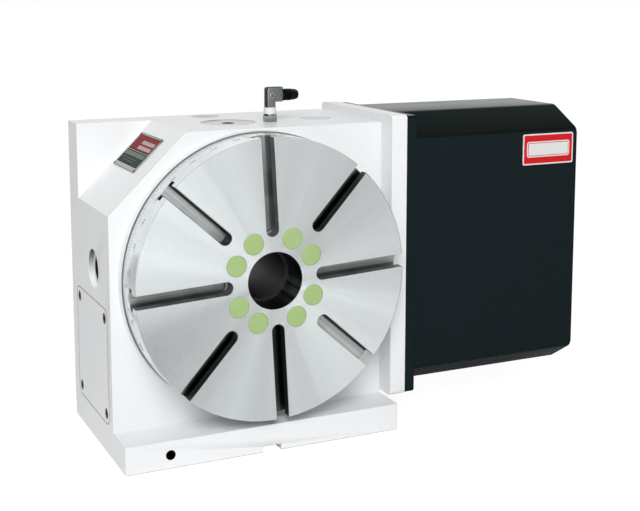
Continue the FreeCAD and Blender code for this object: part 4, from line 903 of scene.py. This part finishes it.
SLOT_FINISHES: dict[str, Finish] = {
    "housing_paint": PANEL, "plate_steel": FACE, "plug_green": GREEN, "machined_steel": STEEL,
    "bearing_steel": BEARING, "black_screw": OXIDE, "bright_screw": ZINC, "bronze": BRONZE,
    "seal_rubber": RUBBER, "cover_black": BLACK, "cast_grey": CAST, "aluminium": ALUMINIUM,
    "motor_black": MOTOR, "black_plastic": NYLON, "sight_dark": SIGHT, "window_blue": WINDOW,
    "fitting_dark": FITTING, "band_pale": BAND, "nameplate": ALUMINIUM,
}


class Wardrobe:
    """Keeps one material for each finish."""

    def __init__(self) -> None:
        """Start with no materials."""
        self._made: dict[str, bpy.types.Material] = {}

    def get(self, finish: Finish) -> bpy.types.Material:
        """The material of a finish, made on first use."""
        if finish.name not in self._made:
            self._made[finish.name] = finish.material()
        return self._made[finish.name]


@dataclass
class Shop:
    """What every sub-assembly works with: the solid nodes and the finishes."""

    nodes: dict[str, bpy.types.Object]
    wardrobe: Wardrobe
    round_angle: float = 28.0
    round_steps: int = 3
    flat_angle: float = 0.4
    weld: float = 2e-6

    def paint(self, node: str, finish: Finish) -> None:
        """Give a solid node a finish."""
        data = self.nodes[node].data
        data.materials.clear()
        data.materials.append(self.wardrobe.get(finish))

    def piece(self, name: str, mesh: bmesh.types.BMesh, finish: Finish, body: Body, slot: str,
              smooth_angle: float = 40.0) -> bpy.types.Object:
        """Turn a bmesh into a piece of the model.

        Args:
            name: The piece's name.
            mesh: The finished bmesh, in the frame's metres; it is freed.
            finish: The piece's finish.
            body: The body that it rides on.
            slot: The record's material slot that it belongs to; not used.
            smooth_angle: Edges flatter than this, in degrees, are shaded smooth.

        Returns:
            The new object.
        """
        piece = as_object(name, mesh, self.wardrobe.get(finish))
        piece.data.shade_smooth()
        piece.data.set_sharp_from_angle(angle=math.radians(smooth_angle))
        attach(piece, body.value)
        LOG.info("piece %s: %d faces on %s", name, len(piece.data.polygons), body.value)
        return piece

    def soften(self, node: str, finish: Finish, body: Body, slot: str, width: float,
               shaped: Optional[Callable[[bmesh.types.BMesh], None]] = None) -> None:
        """Replace a solid node by a copy whose sharp edges carry a small round.

        Args:
            node: The solid node.
            finish: The copy's finish.
            body: The body that it rides on.
            slot: The record's material slot; not used.
            width: Width of the rounded edges in metres.
            shaped: Shapes the copy further before its edges are rounded.
        """
        mesh = bmesh.new()
        mesh.from_mesh(self.nodes[node].data)
        bmesh.ops.remove_doubles(mesh, verts=mesh.verts, dist=self.weld)
        bmesh.ops.dissolve_limit(mesh, angle_limit=math.radians(self.flat_angle), verts=mesh.verts,
                                 edges=mesh.edges)
        if shaped is not None:
            shaped(mesh)
        piece = self.piece(f"{node}_softened", mesh, finish, body, slot, self.round_angle)
        bevel = piece.modifiers.new("edge_round", "BEVEL")
        bevel.width = width
        bevel.segments = self.round_steps
        bevel.limit_method = "ANGLE"
        bevel.angle_limit = math.radians(self.round_angle)
        bevel.use_clamp_overlap = True
        bevel.miter_outer = "MITER_ARC"
        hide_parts(node)


@dataclass
class Casting:
    """The housing with its side cover, printed plate and the plug on top."""

    edge_round: float = 1.4 * MM
    cover_round: float = 0.15 * MM
    plate_foot: Triple = (-0.08928, 0.01225, 0.26541)
    plate_thickness: float = 1.0 * MM
    plate_slope: float = 44.19
    plate_size: Pair = (68.5 * MM, 40.7 * MM)
    print_depth: float = 0.12 * MM
    rivet_radius: float = 1.5 * MM
    rivet_height: float = 0.55 * 1.5 * MM
    rivet_foot: float = -0.1 * MM
    rivet_inset: Pair = (2.6 * MM, 2.2 * MM)
    seam_left: float = -0.136
    seam_sides: Pair = (-0.038, 0.070)
    seam_ends: Pair = (0.027, 0.134)
    seam_corner: float = 9.0 * MM
    seam_width: float = 0.6 * MM
    seam_depth: float = 0.5 * MM
    seam_lift: float = 0.05 * MM

    def build(self, shop: Shop) -> None:
        """Dress the casting and what is fixed to it."""
        shop.soften("housing", WHITE, Body.FRAME, "housing_paint", self.edge_round)
        shop.soften("side_cover", PANEL, Body.FRAME, "housing_paint", self.cover_round)
        shop.paint("side_cover_screws", OXIDE)
        shop.paint("top_plug", PLUG)
        self.seam(shop)
        self.nameplate(shop)

    def seam(self, shop: Shop) -> None:
        """Lay a dark strip in the joint round the side cover, as painted shade in the gap."""
        front, rear = self.seam_sides
        bottom, top = self.seam_ends
        middle = Vector((self.seam_left, (front + rear) / 2, (bottom + top) / 2))
        face = frame_of(middle, Vector((0.0, -1.0, 0.0)), Vector((0.0, 0.0, 1.0)))
        bed = face @ Matrix.Translation((0.0, 0.0, self.seam_lift - self.seam_depth))
        mesh = bmesh.new()
        rounded_panel(mesh, (rear - front, top - bottom), self.seam_depth, self.seam_corner, bed, steps=8,
                      wall=self.seam_width)
        # Painted shade: the dark strip stands in for the shade in the joint.
        shop.piece("side_cover_seam_shade", mesh, DARK_INK_AND_SHADE, Body.FRAME, "housing_paint")

    def nameplate(self, shop: Shop) -> None:
        """Print the plate with plain fields and rules, and rivet its corners.

        Each field is given by its middle, its sizes and its corner in millimetres, and by its layer of print.
        """
        slope = math.radians(self.plate_slope)
        up = Vector((math.cos(slope), 0.0, math.sin(slope)))
        foot = frame_of(Vector(self.plate_foot), Vector((0.0, -1.0, 0.0)), up)
        face = foot @ Matrix.Translation((0.0, 0.0, self.plate_thickness))
        fields = (("nameplate_edge", DARK_INK_AND_SHADE, ((0.0, 0.0, 67.6, 39.8, 1.6),), 0.0),
                  ("nameplate_border", BORDER, ((0.0, 0.0, 66.6, 38.8, 1.2),), 1.0),
                  ("nameplate_outline", DARK_INK_AND_SHADE, ((0.0, 9.4, 61.6, 17.6, 0.6),
                                               (0.0, -7.8, 61.6, 15.4, 0.6)), 2.0),
                  ("nameplate_red", RED, ((0.0, 9.6, 60.0, 16.0, 0.5),), 3.0),
                  ("nameplate_slate", SLATE, ((0.0, -7.8, 60.0, 13.8, 0.5),), 3.0),
                  ("nameplate_header", HEADER, ((0.0, -3.6, 58.0, 4.6, 0.3), (-4.0, -8.8, 40.0, 0.5, 0.1),
                                                (-4.0, -11.6, 34.0, 0.5, 0.1)), 4.0),
                  ("nameplate_bars", BARS, ((9.8, 10.6, 36.0, 3.8, 0.3), (9.8, 4.6, 36.0, 3.8, 0.3)), 4.0))
        for name, finish, spots, layer in fields:
            mesh = bmesh.new()
            for across, rise, wide, high, corner in spots:
                spot = Matrix.Translation((across * MM, rise * MM, layer * self.print_depth))
                rounded_panel(mesh, (wide * MM, high * MM), self.print_depth, corner * MM, face @ spot)
            shop.piece(name, mesh, finish, Body.FRAME, "nameplate")
        self.rivets(shop, face)

    def rivets(self, shop: Shop, face: Matrix) -> None:
        """Put a low domed rivet in each corner of the plate."""
        dome = [(self.rivet_radius * math.cos(turn), self.rivet_height * math.sin(turn))
                for turn in (step * math.pi / 10 for step in range(5))]
        profile = [(self.rivet_radius, self.rivet_foot), *dome, (0.0, self.rivet_height)]
        wide, high = (size / 2 - inset for size, inset in zip(self.plate_size, self.rivet_inset))
        mesh = bmesh.new()
        for across in (-wide, wide):
            for rise in (-high, high):
                turned(mesh, profile, face @ Matrix.Translation((across, rise, 0.0)), 24)
        shop.piece("nameplate_rivets", mesh, OXIDE, Body.FRAME, "bright_screw")


@dataclass
class Elbow:
    """Hydraulic elbow on top of the housing."""

    foot: Triple = (0.0353, -0.0025, 0.290)
    hex_radius: float = 6.8 * MM
    hex_height: float = 6.0 * MM
    hex_round: float = 0.6 * MM
    neck_radius: float = 4.2 * MM
    neck_overlap: float = 1.0 * MM
    band_height: float = 7.6 * MM
    collar_radius: float = 6.2 * MM
    collar_foot: float = -0.3 * MM
    collar_top: float = 1.4 * MM
    collar_slope: float = 1.5 * MM
    block_side: float = 9.0 * MM
    block_height: float = 19.1 * MM
    block_round: float = 1.7 * MM
    leg_height: float = 14.0 * MM
    forge_round: float = 2.4 * MM
    arm_rise: float = 11.4 * MM
    stud_shift: float = 0.4 * MM
    stud_profile: tuple[Pair, ...] = ((2.3, -0.5), (2.3, 0.6), (1.7, 0.9), (1.2, 0.4))
    thread_start: float = 11.9 * MM
    thread_radius: float = 5.65 * MM
    thread_length: float = 9.4 * MM
    thread_pitch: float = 1.4 * MM
    thread_depth: float = 0.7 * MM
    thread_lead: float = 0.6 * MM
    thread_sunk: float = 2.0 * MM
    crest: Pair = (0.45, 0.6)
    shoulder_step: float = 0.3 * MM
    tip_length: float = 6.9 * MM
    tip_radius: float = 3.4 * MM
    bore_radius: float = 2.4 * MM
    bore_bottom: float = 10.6 * MM
    smooth_angle: float = 30.0

    def build(self, shop: Shop) -> None:
        """Make the fitting and let it stand for its solid."""
        foot = Matrix.Translation(self.foot)
        self.nut(shop, foot)
        mesh = bmesh.new()
        self.neck(mesh, foot)
        neck_top = self.hex_height + self.band_height
        self.forging(mesh, foot @ Matrix.Translation((0, 0, neck_top)))
        level = neck_top + self.arm_rise
        stud = foot @ Matrix.Translation((self.stud_shift, -self.block_side / 2, level))
        turned(mesh, [(radius * MM, height * MM) for radius, height in self.stud_profile],
               stud @ Matrix.Rotation(math.pi / 2, 4, "X"), 28)
        arm = foot @ Matrix.Translation((0, 0, level))
        turned(mesh, self.arm_profile(), arm @ Matrix.Rotation(math.pi / 2, 4, "Y"), 40)
        piece = shop.piece("elbow_fitting", mesh, FITTING, Body.FRAME, "fitting_dark", self.smooth_angle)
        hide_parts("hydraulic_elbow")

    def nut(self, shop: Shop, foot: Matrix) -> None:
        """Make the hexagon that the fitting is tightened by."""
        nut = bmesh.new()
        bmesh.ops.create_cone(nut, cap_ends=True, segments=6, radius1=self.hex_radius,
                              radius2=self.hex_radius, depth=self.hex_height,
                              matrix=Matrix.Translation((0, 0, self.hex_height / 2)))
        rounded(nut, list(nut.edges), self.hex_round, 2)
        bmesh.ops.transform(nut, matrix=foot, verts=nut.verts)
        shop.piece("elbow_nut", nut, NUT, Body.FRAME, "fitting_dark", self.smooth_angle)

    def neck(self, mesh: bmesh.types.BMesh, foot: Matrix) -> None:
        """Add the collar on the nut and the neck that runs up into the forging."""
        base = self.hex_height
        turned(mesh, [(self.collar_radius, base + self.collar_foot),
                      (self.collar_radius, base + self.collar_top),
                      (self.neck_radius, base + self.collar_slope),
                      (self.neck_radius, base + self.band_height + self.neck_overlap)], foot, 32)

    def forging(self, mesh: bmesh.types.BMesh, place: Matrix) -> None:
        """Add the L-shaped body with rounded edges and a well rounded outer corner."""
        half = self.block_side / 2
        top, low = self.block_height, self.block_height - self.leg_height
        outline = [(-half, 0.0), (half, 0.0), (half, low), (self.thread_start, low), (self.thread_start, top)]
        for step in range(6):
            turn = math.pi / 2 + step * math.pi / 10
            outline.append((self.forge_round * (1.0 + math.cos(turn)) - half,
                            top - self.forge_round * (1.0 - math.sin(turn))))
        part = bmesh.new()
        part.faces.new([part.verts.new((x, half, z)) for x, z in outline])
        drawn_out(part, (0, -self.block_side, 0))
        rims = [edge for edge in part.edges if abs(edge.verts[0].co.y - edge.verts[1].co.y) < LEVEL]
        rounded(part, rims, self.block_round, 4)
        join(mesh, part, place)

    def arm_profile(self) -> list[Pair]:
        """Section of the arm: ringed thread, tapered tip and bore."""
        root = self.thread_radius - self.thread_depth
        points = [(root, self.thread_start - self.thread_sunk)]
        place = self.thread_start + self.thread_lead
        last = self.thread_start + self.thread_length
        while place + self.thread_pitch < last:
            points.append((root, place))
            points += [(self.thread_radius, place + share * self.thread_pitch) for share in self.crest]
            place += self.thread_pitch
        shoulder = self.thread_radius - self.shoulder_step
        for step in range(7):
            turn = step * math.pi / 12
            drop = (shoulder - self.tip_radius) * (1.0 - math.cos(turn))
            points.append((shoulder - drop, last + self.tip_length * math.sin(turn)))
        return points + [(self.bore_radius, last + self.tip_length), (self.bore_radius, self.bore_bottom)]


@dataclass
class Table:
    """Faceplate with its plugs and the graduated rim."""

    rim_rear: float = -61.0 * MM
    edge_round: float = 0.5 * MM
    plug_round: float = 0.4 * MM
    tick_width: float = 0.35 * MM
    tick_depth: float = 0.06 * MM
    tick_inset: float = 2.2 * MM
    tenth_length: float = 11.5 * MM
    fifth_length: float = 9.5 * MM
    tick_length: float = 7.5 * MM
    figure_size: float = 5.0 * MM
    figure_inset: float = 16.0 * MM

    def build(self, shop: Shop) -> None:
        """Dress the faceplate and everything on it."""
        shop.soften("faceplate", FACE, Body.TABLE, "plate_steel", self.edge_round)
        shop.soften("faceplate_plugs", GREEN, Body.TABLE, "plug_green", self.plug_round)
        shop.paint("spindle", SPINDLE)
        self.graduations(shop)

    def rim_place(self, angle: float, forward: float) -> Matrix:
        """Frame on the rim: X along the rim, Y to the rear, Z outwards.

        Args:
            angle: Degrees round the rim.
            forward: Distance in front of the rim's rear edge.

        Returns:
            The frame's matrix.
        """
        turn = math.radians(angle + REST_ANGLE)
        out = Vector((math.cos(turn), 0.0, math.sin(turn)))
        spot = Vector((0.0, self.rim_rear - forward, CENTRE_HEIGHT)) + out * RIM_RADIUS
        along = Vector((0.0, 1.0, 0.0)).cross(out)
        return frame_of(spot, along, Vector((0.0, 1.0, 0.0)))

    def graduations(self, shop: Shop) -> None:
        """Mark every degree round the rim and a figure at every tenth."""
        mesh = bmesh.new()
        for degree in range(360):
            length = self.tick_length
            if degree % 5 == 0:
                length = self.fifth_length if degree % 10 else self.tenth_length
            size = Matrix.Diagonal((self.tick_width, length, self.tick_depth * 2, 1.0))
            place = self.rim_place(degree, self.tick_inset + length / 2)
            bmesh.ops.create_cube(mesh, size=1.0, matrix=place @ size)
        for degree in range(0, 360, 10):
            self.figure(mesh, str(degree), self.rim_place(degree, self.figure_inset + self.figure_size / 2))
        shop.piece("rim_graduations", mesh, INK, Body.TABLE, "plate_steel")

    def figure(self, mesh: bmesh.types.BMesh, text: str, place: Matrix) -> None:
        """Add the figures of one number to a bmesh."""
        curve = bpy.data.curves.new("figure", "FONT")
        curve.body = text
        curve.size = self.figure_size
        curve.align_x = "CENTER"
        curve.align_y = "CENTER"
        curve.extrude = self.tick_depth
        curve.resolution_u = 3
        holder = bpy.data.objects.new("figure", curve)
        data = bpy.data.meshes.new_from_object(holder)
        part = bmesh.new()
        part.from_mesh(data)
        bpy.data.objects.remove(holder)
        bpy.data.curves.remove(curve)
        bpy.data.meshes.remove(data)
        join(mesh, part, place)


@dataclass
class Drive:
    """Drive flange and motor cover at the right of the housing."""

    flange_round: float = 1.0 * MM
    cover_round: float = 0.5 * MM
    steep_round: float = 4.0 * MM
    shallow_round: float = 2.4 * MM
    fold_steps: int = 5
    fold_angle: float = 12.0
    fold_length: float = 150.0 * MM
    fold_end: float = 339.9 * MM
    end_length: float = 0.01 * MM
    cover_middle: float = 163.0 * MM
    steep_reach: float = 125.0 * MM
    cover_front: float = -70.0 * MM
    badge_centre: Pair = (0.3065, 0.257)
    badge_size: Pair = (60.0 * MM, 30.8 * MM)
    badge_depth: float = 0.6 * MM
    print_depth: float = 0.1 * MM

    def build(self, shop: Shop) -> None:
        """Dress the flange and the cover."""
        shop.soften("drive_flange", PANEL, Body.FRAME, "housing_paint", self.flange_round)
        shop.soften("motor_cover", BLACK, Body.FRAME, "cover_black", self.cover_round, self.rounded_folds)
        self.badge(shop)

    def rounded_folds(self, mesh: bmesh.types.BMesh) -> None:
        """Round the cover's outer folds through to the corners of its right end, as bent sheet is."""
        for steep, offset in ((True, self.steep_round), (False, self.shallow_round)):
            rounded(mesh, [edge for edge in mesh.edges if self.is_fold(edge, steep)], offset, self.fold_steps)

    def is_fold(self, edge: bmesh.types.BMEdge, steep: bool) -> bool:
        """Tell an outer fold, or its run through the right end's round, from the cover's other edges.

        Args:
            edge: The edge.
            steep: Look for the folds beside the front and back, or else for those beside the top and bottom.

        Returns:
            Whether the edge is such a fold.
        """
        if not edge.is_convex or edge.calc_face_angle(0.0) < math.radians(self.fold_angle):
            return False
        if (abs(edge.verts[0].co.z - self.cover_middle) < self.steep_reach) != steep:
            return False
        first, last = sorted(vert.co.x for vert in edge.verts)
        return last - first > self.fold_length or first > self.fold_end and last - first > self.end_length

    def badge(self, shop: Shop) -> None:
        """Fix a red plate with a pale border and a plain pale field on the cover's front.

        Each layer is given by its insets from the plate's sides and ends and by its corner, in millimetres.
        """
        across, rise = self.badge_centre
        middle = Vector((across, self.cover_front, rise))
        face = frame_of(middle, Vector((1.0, 0.0, 0.0)), Vector((0.0, 0.0, 1.0)))
        width, height = self.badge_size
        layers = (("badge_plate", PALE, 0.0, 0.0, 2.0), ("badge_field", BADGE, 1.4, 1.4, 1.2),
                  ("badge_panel", PALE, 4.6, 7.6, 2.4), ("badge_rule", BADGE, 5.8, 8.8, 1.6),
                  ("badge_core", PALE, 6.4, 9.4, 1.2))
        lift, depth = 0.0, self.badge_depth
        for name, finish, inset, drop, corner in layers:
            mesh = bmesh.new()
            rounded_panel(mesh, (width - 2 * inset * MM, height - 2 * drop * MM), depth, corner * MM,
                          face @ Matrix.Translation((0, 0, lift)))
            shop.piece(name, mesh, finish, Body.FRAME, "nameplate")
            lift += depth
            depth = self.print_depth


def main() -> None:
    """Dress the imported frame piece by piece."""
    logging.basicConfig(level=logging.INFO, format="%(message)s")
    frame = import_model()
    shop = Shop(frame["nodes"], Wardrobe())
    for part in frame["record"]["subparts"]:
        shop.paint(part["node"], SLOT_FINISHES[part["material_slot"]])
    for assembly in (Casting(), Elbow(), Table(), Drive()):
        assembly.build(shop)
    Studio().build()


if __name__ == "__main__":
    main()
